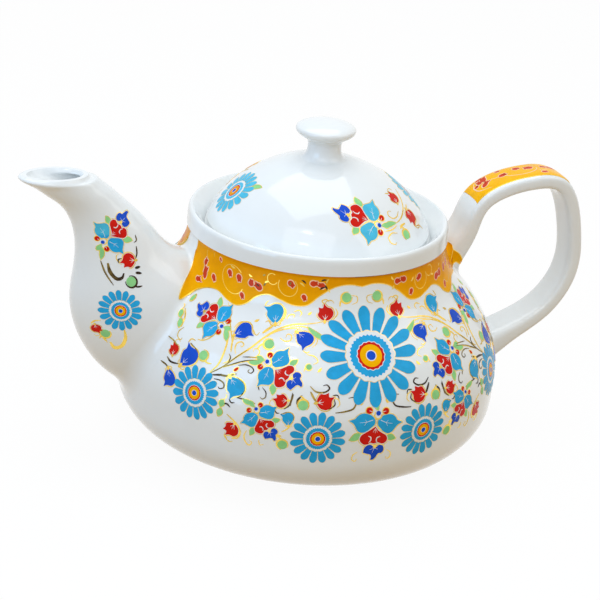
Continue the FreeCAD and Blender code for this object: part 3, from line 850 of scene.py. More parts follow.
# Places on the belly, on one half of the front: degrees from the front and height in millimetres.
# Every row is laid on both halves of the front and of the back.
ROSETTES = [(15.9, 36.1), (53.1, 45.2)]
# Place, turn and scale
ORCHIDS = [(33.1, 63.1, 61.0, 0.88), (33.9, 45.5, 34.0, 0.76), (52.0, 71.0, -109.0, 0.84)]
# Colour, place, turn, scale and hand
BUDS = [
    ("turquoise", 33.4, 75.5, 14, 0.91, 1), ("cobalt", 46.3, 69.1, -46, 0.88, -1),
    ("cobalt", 60.6, 53.2, -28, 1.04, 1), ("cobalt", 64.6, 49.9, -149, 0.82, -1),
    ("turquoise", 43.3, 55.3, -137, 0.95, -1), ("turquoise", 24.3, 40.7, 9, 0.60, 1),
    ("cobalt", 25.1, 73.9, -126, 0.85, -1), ("red", 15.3, 78.2, -1, 0.97, 1),
    ("red", 17.0, 50.8, -75, 1.03, 1), ("red", 25.1, 50.8, 96, 0.84, -1),
    ("red", 39.4, 37.6, 152, 0.97, -1), ("red", 64.8, 55.1, 17, 0.77, 1),
]
# Place, heading and length of the tail, and scale
GREEN_BUDS = [
    (6.6, 86.9, -138, 4.6, 1.0), (33.6, 69.1, -155, 5.3, 1.0), (20.7, 49.5, 99, 4.0, 1.0),
    (25.5, 32.0, 120, 5.0, 1.0), (53.9, 59.7, -33, 5.3, 1.0), (19.9, 63.3, -145, 4.4, 0.6),
]
# Place, heading and length of a leaflet
LEAF_PAIRS = [(69.3, 67.9, -60, 4.5), (44.1, 42.9, -103, 4.0)]
# Colour, start, tip and width
LEAVES = [
    ("green", (21.4, 76.0), (12.8, 72.0), 2.0), ("green", (38.8, 62.0), (34.2, 63.3), 2.0),
    ("green", (48.3, 66.8), (50.6, 70.6), 2.2), ("green", (38.0, 48.4), (34.6, 47.6), 1.9),
    ("green", (70.8, 73.8), (70.0, 76.4), 1.8), ("gold", (41.2, 75.0), (39.6, 76.0), 1.1),
    ("gold", (21.8, 80.0), (20.4, 81.2), 1.0), ("gold", (17.2, 61.8), (16.0, 63.4), 1.0),
    ("gold", (4.2, 50.0), (3.6, 52.2), 1.0), ("red", (42.6, 57.8), (41.4, 59.4), 1.2),
]
# Gold lines: width and places
SCROLLS = [
    (0.80, [(50.1, 54.2), (46.6, 57.8), (42.8, 62.8), (39.0, 67.1), (35.9, 70.8), (32.5, 73.7),
            (28.4, 75.7), (24.6, 76.6), (23.2, 76.7), (18.5, 77.4), (15.5, 78.1)]),
    (0.55, [(36.3, 70.2), (33.0, 72.9), (28.2, 74.8), (25.1, 75.0), (25.1, 74.2)]),
    (1.10, [(36.9, 72.0), (35.3, 73.6), (33.6, 75.3)]),
    (0.80, [(49.9, 54.8), (48.1, 58.2), (47.5, 62.2), (47.6, 65.9), (48.2, 68.1), (49.6, 70.0),
            (51.4, 70.7)]),
    (0.50, [(45.3, 63.8), (46.2, 67.3), (48.1, 70.4), (50.0, 73.2), (51.4, 75.8), (54.3, 78.4)]),
    (0.70, [(45.3, 63.8), (45.9, 66.4), (46.2, 69.0)]),
    (0.70, [(46.3, 57.9), (43.8, 59.6), (41.0, 61.4), (38.4, 62.5), (35.2, 63.5), (33.3, 63.4)]),
    (0.50, [(40.0, 63.4), (37.2, 63.9), (33.7, 64.0)]),
    (0.50, [(46.7, 59.2), (45.3, 60.4), (44.9, 61.9), (45.7, 63.0)]),
    (0.50, [(43.6, 63.6), (44.4, 65.4), (44.2, 67.2), (42.9, 67.9), (41.9, 67.3), (42.2, 66.4),
            (42.9, 66.6)]),
    (0.45, [(37.6, 63.6), (36.3, 64.9), (36.1, 66.1), (37.0, 66.9), (38.1, 66.6), (38.0, 65.7)]),
    (0.50, [(41.6, 60.0), (39.3, 60.8), (37.3, 60.4), (36.5, 59.4), (37.2, 58.3), (38.2, 58.7),
            (37.9, 59.5)]),
    (0.60, [(48.0, 53.0), (46.0, 53.1), (44.6, 52.3), (44.4, 50.8), (45.6, 50.1), (46.1, 50.6)]),
    (0.90, [(48.8, 54.2), (46.5, 55.0), (44.0, 55.4), (41.4, 57.0)]),
    (0.55, [(41.0, 55.8), (38.6, 54.1), (38.0, 51.7), (38.9, 49.2), (39.8, 48.4)]),
    (0.60, [(39.8, 48.4), (37.3, 48.4), (34.2, 47.7)]),
    (0.55, [(42.0, 47.1), (41.2, 46.0), (40.2, 46.3)]),
    (0.70, [(43.9, 44.6), (42.4, 45.0), (41.3, 44.0)]),
    (0.45, [(32.9, 54.1), (31.7, 52.6), (31.6, 50.8), (32.5, 49.9), (33.1, 50.5)]),
    (0.45, [(34.2, 54.2), (33.7, 52.9)]),
    (0.70, [(23.7, 53.3), (24.1, 51.1), (24.7, 48.8), (26.0, 47.3)]),
    (0.60, [(61.1, 61.9), (60.5, 63.4), (58.8, 63.4)]),
    (0.50, [(58.3, 64.1), (56.4, 64.4), (54.1, 66.1), (52.8, 68.1)]),
    (0.50, [(70.0, 71.1), (67.7, 68.8), (66.7, 65.5)]),
    (0.45, [(65.7, 65.8), (66.8, 63.6), (66.2, 62.0), (64.4, 61.5), (64.2, 62.3)]),
    (0.60, [(69.6, 60.5), (67.1, 60.1), (64.5, 58.9), (63.6, 56.7)]),
    (0.80, [(66.6, 53.7), (64.6, 52.7), (60.9, 53.4)]),
    (0.70, [(68.5, 51.1), (66.0, 50.8), (64.4, 50.0)]),
    (0.50, [(60.1, 62.0), (56.5, 60.1), (55.6, 57.5), (56.7, 55.2)]),
    (0.60, [(32.0, 75.8), (30.4, 78.3), (30.5, 80.6), (32.9, 82.6)]),
    (0.50, [(34.7, 74.8), (36.0, 76.1), (37.1, 75.5)]),
    (0.45, [(39.0, 80.8), (38.6, 82.1), (37.8, 83.0)]),
    (0.50, [(47.5, 71.5), (46.2, 73.6), (43.3, 74.1), (40.7, 72.5), (38.7, 71.0), (38.0, 72.1)]),
    (0.50, [(30.5, 71.5), (28.7, 70.8), (26.8, 71.3), (26.8, 72.8), (28.2, 73.0), (28.6, 71.9)]),
    (0.50, [(29.6, 77.7), (28.7, 79.2), (26.9, 79.4), (27.1, 78.4)]),
    (0.50, [(12.1, 78.7), (10.3, 81.0), (11.1, 82.8)]),
    (0.50, [(15.7, 84.1), (16.6, 85.4), (14.9, 86.0), (13.7, 85.1)]),
    (0.40, [(4.7, 87.7), (2.2, 87.1), (2.3, 85.1), (4.5, 84.2)]),
    (0.50, [(27.3, 80.5), (25.3, 81.2), (24.2, 80.2), (24.8, 79.2)]),
    (0.50, [(27.8, 75.3), (23.1, 75.9), (19.7, 75.1), (18.0, 73.3), (17.9, 71.1), (19.3, 69.8)]),
    (0.45, [(22.3, 68.5), (20.9, 67.9), (20.1, 68.4)]),
    (0.45, [(20.9, 67.4), (18.3, 66.9), (17.2, 65.3), (18.6, 64.3)]),
    (0.70, [(19.1, 56.7), (17.3, 54.9), (14.7, 54.9), (13.4, 56.3), (14.2, 57.5), (15.3, 57.2)]),
    (0.90, [(18.9, 54.8), (17.6, 52.1), (16.8, 50.9)]),
    (0.50, [(12.0, 52.4), (11.7, 50.4), (13.0, 48.9), (14.4, 48.4)]),
    (0.50, [(12.4, 53.8), (11.0, 53.8), (10.5, 52.4)]),
    (0.70, [(11.5, 47.2), (8.9, 47.7), (6.3, 48.9), (5.6, 51.3), (6.3, 53.0), (7.8, 52.8)]),
    (0.90, [(22.1, 48.7), (22.4, 51.1), (21.2, 53.2)]), (0.60, [(24.3, 48.8), (24.0, 53.8)]),
    (0.40, [(4.4, 29.9), (5.6, 28.4), (5.7, 26.3), (4.7, 25.6), (4.4, 26.8)]),
    (0.70, [(42.0, 40.8), (40.1, 39.1), (38.4, 37.0), (37.6, 34.2), (38.3, 31.5), (40.1, 30.5)]),
    (0.45, [(42.4, 31.5), (42.0, 30.4), (41.4, 30.3)]),
    (0.55, [(35.8, 35.8), (36.4, 33.4), (36.1, 31.0), (34.9, 29.3), (34.1, 30.8), (34.8, 31.5)]),
    (0.40, [(32.2, 32.6), (31.7, 30.4), (30.7, 30.9)]), (0.60, [(27.3, 36.4), (25.9, 35.8)]),
    (0.60, [(23.8, 40.6), (24.8, 39.0), (26.0, 37.8)]),
    (0.50, [(26.7, 45.1), (24.5, 46.2), (23.1, 44.9), (23.0, 43.3)]),
    (0.50, [(28.7, 46.8), (27.8, 45.4), (27.1, 45.5)]),
]
# Parts of the stems drawn dark as painted shade on one side, and the heights between which the scrolls are
# drawn dark as painted dark reflection
PAINTED_SHADE_LINES = [
    (0.42, [(49.6, 54.7), (46.6, 57.8), (42.8, 62.8), (40.2, 65.7)]),
    (0.50, [(46.6, 57.8), (43.8, 59.7), (41.0, 61.5), (38.4, 62.6), (35.4, 63.5)]),
    (0.40, [(45.0, 60.2), (44.8, 61.9), (45.6, 63.0)]),
    (0.40, [(41.0, 63.2), (38.0, 63.8), (35.6, 64.0)]),
]
PAINTED_DARK_FROM, PAINTED_DARK_TO = 44.0, 61.0
# The front's own two flowers, the petals' width of the large one, and the lean of small ones to their side
FRONT_ROSETTE, FRONT_ORCHID, LARGE_WIDTH, ROSETTE_LEAN = (0.3, 67.2), (0.8, 46.5), 0.82, 7.0


def belly_flowers(kiln, flip):
    flowers = settings()[1]
    skin = body_skin()
    kiln.use(skin, flip)
    small, spray = rosette(flowers.small / MM), orchid()
    buds = {"turquoise": bell("turquoise"), "cobalt": bell("cobalt"), "red": tulip()}
    kiln.lay(rosette(flowers.large / MM, LARGE_WIDTH), FRONT_ROSETTE)
    kiln.lay(spray, FRONT_ORCHID, -6.0, 1.04)
    for side in (-1, 1):
        for angle, height in ROSETTES:
            kiln.lay(small, (side * angle, height), ROSETTE_LEAN * side)
        for angle, height, turn, scale in ORCHIDS:
            kiln.lay(spray, (side * angle, height), -side * turn, scale, side > 0)
        for tone, angle, height, turn, scale, hand in BUDS:
            kiln.lay(buds[tone], (side * angle, height), -side * turn, scale, side * hand > 0)
        for angle, height, heading, length, scale in GREEN_BUDS:
            kiln.lay(green_bud(heading, length), (side * angle, height), 0.0, scale, side > 0)
        for angle, height, heading, apart in LEAF_PAIRS:
            kiln.lay(leaf_pair(heading, apart), (side * angle, height), mirror=side > 0)
        for tone, start, tip, width in LEAVES:
            anchor = (side * start[0], start[1])
            kiln.sprig(tone, anchor, skin.local(anchor, side * tip[0], tip[1]), width, 0.08 * side)
        for width, points in SCROLLS:
            # Scrolls at these heights are drawn in dark gold as painted dark reflection
            dark = PAINTED_DARK_FROM < np.mean([height for _, height in points]) < PAINTED_DARK_TO
            places = [(side * angle, height) for angle, height in points]
            kiln.draw(places, width, "burnt" if dark else "gold")
        # Painted shade along one side of these stems
        for width, points in PAINTED_SHADE_LINES:
            kiln.draw([(side * angle, height) for angle, height in points], width, "burnt", LINE)


LID_SCROLLS = [
    (0.70, [(32.7, 109.5), (36.6, 109.9), (43.0, 111.2), (50.1, 113.2), (56.2, 115.6), (60.4, 117.3)]),
    (0.50, [(40.0, 112.4), (35.4, 111.1), (31.0, 111.2), (28.9, 112.4), (30.7, 113.6), (33.3, 113.3)]),
    (0.50, [(29.2, 106.2), (25.1, 106.7), (21.6, 105.4), (22.3, 103.5), (25.3, 102.7), (25.9, 103.3)]),
    (0.60, [(21.1, 107.9), (26.2, 107.8), (31.6, 108.6)]), (0.60, [(55.0, 112.6), (49.6, 111.4)]),
    (0.50, [(49.0, 105.3), (53.9, 104.5), (56.1, 102.6)]), (0.50, [(45.0, 117.9), (40.9, 118.4)]),
    (1.00, [(39.4, 108.2), (34.9, 107.9), (33.2, 107.1)]),
]


def lid_flowers(kiln, flip):
    skin, bud = lid_skin(), tulip()
    kiln.use(skin, flip)
    kiln.lay(rosette(settings()[1].small / MM), (-95.0, 112.4), 10.0)
    kiln.lay(orchid(), (18.6, 110.4), -120.0, 0.98)
    kiln.lay(bud, (45.1, 114.5), -13.0, 0.86)
    kiln.lay(bud, (49.6, 111.4), 177.0, 1.05, True)
    kiln.lay(green_bud(95.0, 4.2), (35.9, 104.6))
    kiln.sprig("green", (21.2, 109.4), skin.local((21.2, 109.4), 32.0, 109.4), 2.2, 0.06)
    kiln.sprig("green", (-82.0, 116.4), (4.8, 2.4), 2.4, 0.1)
    for width, points in LID_SCROLLS:
        kiln.draw(points, width)


# Along and up, in millimetres; those above a height are drawn in dark gold as painted dark reflection
SPOUT_SCROLLS = [
    (0.70, [(-98.6, 90.1), (-96.8, 85.2), (-93.8, 80.6)]),
    (1.50, [(-95.9, 89.5), (-95.0, 85.9), (-92.4, 83.3), (-90.4, 83.8), (-89.6, 85.7)]),
    (0.60, [(-84.0, 96.0), (-83.9, 93.0), (-84.7, 90.9)]),
    (0.60, [(-91.6, 89.7), (-91.8, 91.1), (-90.4, 91.6)]),
    (1.60, [(-94.4, 55.3), (-92.5, 52.8), (-90.0, 54.1), (-88.8, 58.2), (-89.4, 61.9)]),
    (0.60, [(-101.8, 62.3), (-100.7, 63.9), (-98.5, 64.8)]),
    (0.70, [(-98.4, 56.2), (-97.3, 57.7), (-95.4, 54.8)]),
    (0.50, [(-84.2, 100.3), (-83.8, 98.2), (-84.9, 97.5)]), (1.10, [(-84.9, 87.6), (-82.7, 88.0)]),
    (1.10, [(-84.7, 85.8), (-82.2, 85.4)]),
]
SPOUT_PAINTED_DARK = 70.0
# Ways to cast on a wall: the two axes across and the way of the lines
FROM_FRONT = ((1, 0, 0), (0, 0, 1)), (0, 1, 0)
FROM_ABOVE = ((1, 0, 0), (0, 1, 0)), (0, 0, -1)


def spout_flowers(kiln, flip):
    bud = tulip()
    kiln.use(CastSkin("spout", *FROM_FRONT), flip)
    kiln.lay(orchid(), (-97.6, 97.8), 133.0, 0.78)
    kiln.lay(rosette(settings()[1].small / MM), (-91.1, 70.2), 6.0, 0.76)
    kiln.lay(bud, (-84.7, 90.6), 92.0, 0.88)
    # Its crescent is drawn in dark gold as painted dark reflection
    kiln.lay(green_bud(-32.0, 4.8, "burnt"), (-86.7, 82.3))
    kiln.lay(bud, (-100.4, 62.4), 205.0, 0.60)
    kiln.lay(green_bud(-94.0, 4.0), (-96.4, 59.1), scale=0.9)
    kiln.sprig("green", (-98.2, 95.8), (-0.4, -5.2), 1.8, 0.06)
    for width, points in SPOUT_SCROLLS:
        kiln.draw(points, width, "gold" if points[0][1] < SPOUT_PAINTED_DARK else "burnt")


# Collar bands and handle strip

# The band's lower edge by degrees and height: the front, then its end at the spout and at the handle
BAND_EDGE = [
    (0.0, 91.0), (5.2, 91.9), (11.4, 90.9), (17.4, 87.4), (22.6, 83.3), (28.0, 82.8), (33.0, 84.0),
    (38.6, 85.2), (43.4, 83.4), (46.6, 80.2), (50.4, 78.5), (55.2, 79.2), (61.1, 81.0),
]
SPOUT_END = [
    (66.6, 80.3), (71.4, 77.7), (73.4, 74.9), (75.3, 72.3), (78.0, 74.7), (79.8, 78.0), (80.9, 82.0),
    (82.3, 87.0), (83.2, 91.0), (83.6, 95.2),
]
HANDLE_END = [
    (66.6, 80.5), (71.0, 79.6), (75.0, 79.4), (79.0, 80.2), (82.6, 81.0), (86.5, 82.2), (89.5, 84.6),
    (91.0, 87.2),
]
# Its upper edge, which falls by so much for each degree past an angle at the handle
BAND_TOP, BAND_FALL, FALL_FROM = 95.35, 0.9, 82.0
# The lobe of the band that runs out on the handle's root, along and up
HANDLE_LOBE = [
    (57.4, 88.2), (59.4, 87.0), (61.6, 85.2), (64.3, 83.5), (66.0, 81.3), (66.8, 79.0), (66.0, 77.9),
    (64.8, 78.5), (63.4, 79.4), (61.6, 79.0), (59.6, 78.0), (57.6, 80.0), (57.0, 84.0),
]
# Buds on the orange: place, length, width and turn
BAND_MARKS = [
    (73.2, 88.8, 3.2, 1.9, 60), (71.3, 84.9, 5.2, 2.6, 80), (73.3, 81.2, 4.0, 1.8, 20),
    (65.7, 84.7, 2.8, 2.3, -60), (58.1, 89.0, 2.8, 2.3, -70), (53.1, 88.4, 3.0, 2.5, -80),
    (49.6, 82.3, 2.5, 2.0, -75), (46.9, 87.9, 2.8, 2.4, 80), (43.5, 87.4, 3.6, 2.8, 160),
    (29.9, 90.7, 3.0, 2.4, -40), (24.0, 86.1, 2.5, 2.0, -70), (20.4, 91.8, 3.2, 2.3, 10),
    (17.1, 91.4, 2.8, 2.3, 170), (64.7, 92.6, 1.6, 1.0, -60),
]
# Gold rings: place, radius, first and last degree
BAND_CIRCLES = [
    (55.9, 87.1, 5.6, 40, 330), (31.1, 89.6, 4.0, 150, 400), (71.6, 92.4, 2.6, 0, 250),
    (38.0, 91.4, 2.2, 60, 330),
]
# Gold touches, and dark flecks on the spout's half: place, length and turn
BAND_TOUCHES = [
    (56.0, 91.6, 2.4, 160), (41.0, 89.2, 2.2, 20), (47.0, 90.4, 1.8, 150), (26.4, 91.6, 2.4, -40),
    (15.2, 92.2, 2.2, 60), (15.0, 90.2, 2.0, -60),
]
BAND_FLECKS = [
    (42.3, 91.8, 1.3, 20), (25.8, 92.8, 2.3, -40), (17.5, 93.0, 2.6, 10), (16.0, 91.6, 2.4, -70),
    (17.9, 89.6, 2.8, 20), (44.6, 87.9, 1.7, -30), (41.2, 88.0, 1.7, 40), (30.2, 90.2, 1.5, 60),
]
# On the handle's strip: from and to along it, half its width, its buds and its lines
STRIP_FROM, STRIP_TO, STRIP_HALF = 71.4, 115.6, 7.4
STRIP_MARKS = [
    (78.6, 4.2, 4.6, 2.6, 80), (76.4, 3.2, 3.0, 1.8, 100), (77.2, 6.0, 3.2, 1.5, 10),
    (77.9, -0.4, 4.8, 2.2, 50), (74.6, 1.6, 1.8, 1.6, 60), (86.0, 0.4, 3.8, 2.5, 20),
    (85.6, 5.8, 2.2, 1.6, 0), (93.4, 3.2, 3.2, 2.8, 0), (98.8, 2.0, 4.2, 2.8, 180),
    (106.2, 2.2, 3.2, 2.2, 180), (109.6, 2.2, 3.8, 2.5, 0), (104.2, -4.2, 3.0, 1.8, 10),
]
STRIP_ARCS = [
    [(75.0, 5.6), (73.6, 2.0), (74.4, -2.6), (78.6, -5.2)],
    [(85.6, 2.4), (87.6, -1.6), (93.0, -3.6), (99.0, -2.8), (102.4, 0.4), (101.6, 3.6), (99.0, 4.6)],
    [(102.0, -1.0), (105.2, -1.6), (108.0, -0.4)], [(81.0, 1.0), (83.4, 0.2), (85.0, 0.4)],
]
# The part of the upper edge that has a painted shadow line under the collar, by degrees
SHADOW_LINE_EDGE = -4.0, 44.0


def orange_sheet(sheet, columns, tone="orange"):
    """A flat orange area from columns of points, each running from one edge to the other."""
    lift, rows = height_of(tone), 20
    verts = []
    for first, last in columns:
        first, last = np.array(first, float), np.array(last, float)
        spots = [first + (last - first) * k / rows for k in range(rows + 1)]
        verts += [(*spot, lift) for spot in spots] + [(*spot, SUNK) for spot in reversed(spots)]
    sheet.add(tone, verts, tube_faces(len(columns), 2 * rows + 2, False))


def red_mark(sheet, spot, length, width, turn):
    """A rust bud with a blush line round it."""
    mark, half = Sheet(), length / 2
    full, thin = (0.05, 0.42, 0.7, False), (0.0, 0.5, 0.7, False)
    leaf(mark, "blush", (0, -half - 0.35), (0.15, half + 0.45), width + 0.75, *full, BUD_LINE)
    leaf(mark, "rust", (0, -half), (0.15, half), width, *full, BUD)
    for lean in (-0.42, 0.42):
        a, b = length * 0.62 * math.sin(lean), length * 0.62 * math.cos(lean)
        leaf(mark, "blush", (0, -0.2), (a * 1.15, b * 1.1), width * 0.62, *thin, BUD_LINE)
        leaf(mark, "rust", (0, -0.2), (a, b), width * 0.36, *thin, BUD)
    sheet.merge(mark, turn - 90.0, shift=spot)


def collar_band(kiln, flip):
    """The orange band with its scalloped edge, gold lines, circles and buds, on one side of the neck."""
    skin, sheet = body_skin(), Sheet()
    anchor = (0.0, 88.0)
    halves = []
    for end in (SPOUT_END, HANDLE_END):
        edge = smooth_line(BAND_EDGE + end, 130)
        halves.append(edge[np.argsort(edge[:, 0])])
    edge = np.concatenate([halves[0][::-1] * (-1, 1), halves[1][1:]])
    lower = [skin.local(anchor, angle, height) for angle, height in edge]
    tops = BAND_TOP - BAND_FALL * np.maximum(edge[:, 0] - FALL_FROM, 0.0)
    upper = [skin.local(anchor, angle, top) for angle, top in zip(edge[:, 0], tops)]
    orange_sheet(sheet, list(zip(lower, upper)))
    stroke(sheet, "gold", lower, 0.17, LINE)
    # A painted shadow line along the upper edge
    dark = [spot for (angle, _), spot in zip(edge, upper) if SHADOW_LINE_EDGE[0] < angle < SHADOW_LINE_EDGE[1]]
    stroke(sheet, "burnt", dark, 0.16, LINE)
    for side in (-1, 1):
        for angle, height, length, width, turn in BAND_MARKS:
            spot = skin.local(anchor, side * angle, height)
            red_mark(sheet, spot, length, width, turn if side < 0 else 180.0 - turn)
        for angle, height, reach, first, last in BAND_CIRCLES:
            turn = np.radians(np.linspace(first, last, 36))
            ring = np.stack([-side * np.cos(turn), np.sin(turn)], -1) * reach
            stroke(sheet, "gold", skin.local(anchor, side * angle, height) + ring, 0.12, LINE)
        for tone, rows in (("gold", BAND_TOUCHES), ("burnt", BAND_FLECKS if side < 0 else ())):
            for angle, height, length, turn in rows:
                touch, spot = Sheet(), skin.local(anchor, side * angle, height)
                leaf(touch, tone, (0, 0), (length, 0.2), 0.7, bend=0.12, edge=False, level=TOUCH)
                sheet.merge(touch, turn if side < 0 else 180.0 - turn, shift=spot)
    kiln.use(skin, flip)
    kiln.lay(sheet, anchor)
    lobe, outline = Sheet(), smooth_line(HANDLE_LOBE, 60, True)
    patch(lobe, "orange", outline, (61.4, 82.4))
    stroke(lobe, "gold", outline, 0.15, LINE, closed=True)
    kiln.use(CastSkin("handle", *FROM_FRONT, [bpy.data.objects["handle_upper_slip"]]), flip)
    kiln.lay(lobe, (0.0, 0.0))


def handle_strip(kiln):
    """The orange strip on the flat top of the handle, with pale scrolls and buds."""
    xs, sheet = np.linspace(STRIP_FROM, STRIP_TO, 64), Sheet()
    orange_sheet(sheet, [((x, -STRIP_HALF), (x, STRIP_HALF)) for x in xs], "amber")
    for y in (0.1 - STRIP_HALF, STRIP_HALF - 0.1):
        stroke(sheet, "gold", np.stack([xs, np.full(len(xs), y)], -1), 0.14, LINE)
    for x, y, length, width, turn in STRIP_MARKS:
        red_mark(sheet, (x, y), length, width, turn)
    for points in STRIP_ARCS:
        tendril(sheet, points, 0.4, "blush", LINE)
    kiln.use(CastSkin("handle", *FROM_ABOVE))
    kiln.lay(sheet, (0.0, 0.0))


# Slip fillets

# Millimetres: nearest point and step of the search on the wall, lift of its path, lift of the slip's edges
SLIP_NEAR, SLIP_STEP, PATH_LIFT, SLIP_LIFT = 1.5, 0.5, 0.02, 0.03
# Samples across the slip, and how deep its hidden edges and corner reach in millimetres
SLIP_SAMPLES, SLIP_DEEP, CORNER_DEEP = 13, 0.4, 0.5


def slip_seam(name, node, angle, height, base, lean=0.0, far=48.0, count=72):
    """A ring of slip that rounds the corner where a piece meets the belly, broader below by its lean."""
    tree, skin = clay_tree(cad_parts[node]), TurnedSkin(clamped_curve(WALL, WALL_SAMPLES))
    anchor = (angle, height)
    path = np.arange(far, SLIP_NEAR, -SLIP_STEP)
    rows = []
    for turn in np.linspace(0, 2 * math.pi, count, endpoint=False):
        cosine, sine = math.cos(turn), math.sin(turn)
        reach = base * (1.0 - lean * sine)
        flat = np.stack([path * cosine, path * sine, np.full(len(path), PATH_LIFT)], -1)
        wall = [Vector(spot) for spot in skin.place(anchor, flat)]
        for i in range(len(wall) - 1):
            step = wall[i + 1] - wall[i]
            if step.length < 1e-7:
                continue
            spot, normal, _, _ = tree.ray_cast(wall[i], step.normalized(), step.length)
            if spot is not None:
                break
        else:
            raise RuntimeError("no seam found for " + name)
        met = path[i] + (path[i + 1] - path[i]) * (spot - wall[i]).length / step.length
        away = np.array([(met + reach) * cosine, (met + reach) * sine, SLIP_LIFT])
        foot, ahead = [Vector(v) for v in skin.place(anchor, np.stack([away, away + (0, 0, 1.0)]))]
        rise = (ahead - foot).normalized()
        climb = (rise - normal * rise.dot(normal)).normalized()
        top, face, _, _ = tree.find_nearest(spot + climb * reach * MM)
        rows.append((foot, spot, top + face * SLIP_LIFT * MM, rise, face))
    share, points = np.linspace(0, 1, SLIP_SAMPLES), []
    for foot, corner, top, rise, face in rows:
        points += [foot * (1 - t) ** 2 + corner * 2 * t * (1 - t) + top * t ** 2 for t in share]
        points += [top - face * SLIP_DEEP * MM, corner - (rise + face) * CORNER_DEEP * MM,
                   foot - rise * SLIP_DEEP * MM]
    piece = build(name, points, tube_faces(count, len(share) + 3, True), finish("porcelain"))
    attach(piece, "pot")
    return piece


# Operators

class TEAPOT_OT_glaze(bpy.types.Operator):
    """Glaze the clay pieces white"""
    bl_idname = "teapot.glaze"
    bl_label = "Glaze clay pieces"

    def execute(self, context):
        for name in ("pot_body", "spout", "handle", "lid", "lid_knob"):
            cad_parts[name].material_slots[0].material = finish("porcelain")
        return {"FINISHED"}


class TEAPOT_OT_slip_seams(bpy.types.Operator):
    """Round the corners where the spout and the handle meet the belly"""
    bl_idname = "teapot.slip_seams"
    bl_label = "Slip seams"

    def execute(self, context):
        reach = settings()[2].seam / MM
        slip_seam("spout_root_slip", "spout", -90.0, 57.0, reach * 1.1, 0.35)
        slip_seam("handle_upper_slip", "handle", 90.0, 79.0, reach * 0.8, 0.0, 20.0, 56)
        slip_seam("handle_lower_slip", "handle", 90.0, 36.0, reach, 0.0, 20.0, 56)
        return {"FINISHED"}


class TEAPOT_OT_collar_bands(bpy.types.Operator):
    """Lay the orange bands round the neck, front and back"""
    bl_idname = "teapot.collar_bands"
    bl_label = "Collar bands"

    def execute(self, context):
        for name, flip in (("band_front", PLAIN), ("band_back", MIRRORED)):
            kiln = Kiln()
            collar_band(kiln, flip)
            for piece in kiln.fire("neck_" + name, "pot"):
                if piece.name.endswith("orange"):
                    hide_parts(name)
        return {"FINISHED"}


class TEAPOT_OT_handle_strip(bpy.types.Operator):
    """Lay the orange strip on the top of the handle"""
    bl_idname = "teapot.handle_strip"
    bl_label = "Handle strip"

    def execute(self, context):
        kiln = Kiln()
        handle_strip(kiln)
        for piece in kiln.fire("handle_top", "pot"):
            if piece.name.endswith("amber"):
                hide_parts("handle_strip")
        return {"FINISHED"}


class TEAPOT_OT_flowers(bpy.types.Operator):
    """Lay the flowers on the belly, the spout and the lid"""
    bl_idname = "teapot.flowers"
    bl_label = "Enamel flowers"

    def execute(self, context):
        for name, painter, flips, body in (
                ("belly_front", belly_flowers, (PLAIN,), "pot"),
                ("belly_back", belly_flowers, (TURNED,), "pot"),
                ("spout", spout_flowers, (PLAIN, MIRRORED), "pot"),
                ("lid", lid_flowers, (PLAIN, TURNED), "cover")):
            kiln = Kiln()
            for flip in flips:
                painter(kiln, flip)
            kiln.fire(name + "_flowers", body)
        return {"FINISHED"}


WHITE, COOL = (1.0, 1.0, 1.0), (0.34, 0.62, 1.0)
# Lamps: place, size, power and tint, all aimed at one spot
LAMPS = [
    ("key", (-0.49, -0.82, 1.02), (1.1, 0.8), 3.0, WHITE),
    ("fill", (0.95, -0.6, 1.0), (0.8, 0.8), 2.3, WHITE),
    ("pane_high", (-0.395, -0.564, 1.16), (0.16, 0.05), 0.20, WHITE),
    ("pane_low", (-0.518, -0.740, 1.0), (0.20, 0.03), 0.13, WHITE),
    ("left", (-1.12, -0.44, 0.38), (0.7, 0.7), 4.0, COOL),
    ("top", (0.0, 0.25, 1.2), (1.1, 1.1), 5.8, WHITE),
]
AIM = Vector((0, 0, 0.06))
SKY, SKY_STRENGTH = (0.93, 0.970, 1.0, 1.0), 0.57
PAPER, TABLE, SHADE = (1, 1, 1, 1), (0.43, 0.24, 0.02, 1.0), (0.95, 0.95, 0.95, 1.0)
FLOOR, FLOOR_GLOW = [(-6, -6, 0), (6, -6, 0), (6, 6, 0), (-6, 6, 0)], 0.94
# The photograph's camera
CAMERA_SPOT, LENS, SENSOR = (-0.26327, -0.68102, 0.37170), 108.0, 36.0
CAMERA_RIGHT, CAMERA_UP = (0.9436, -0.3217, 0.0789), (0.0583, 0.3959, 0.9165)


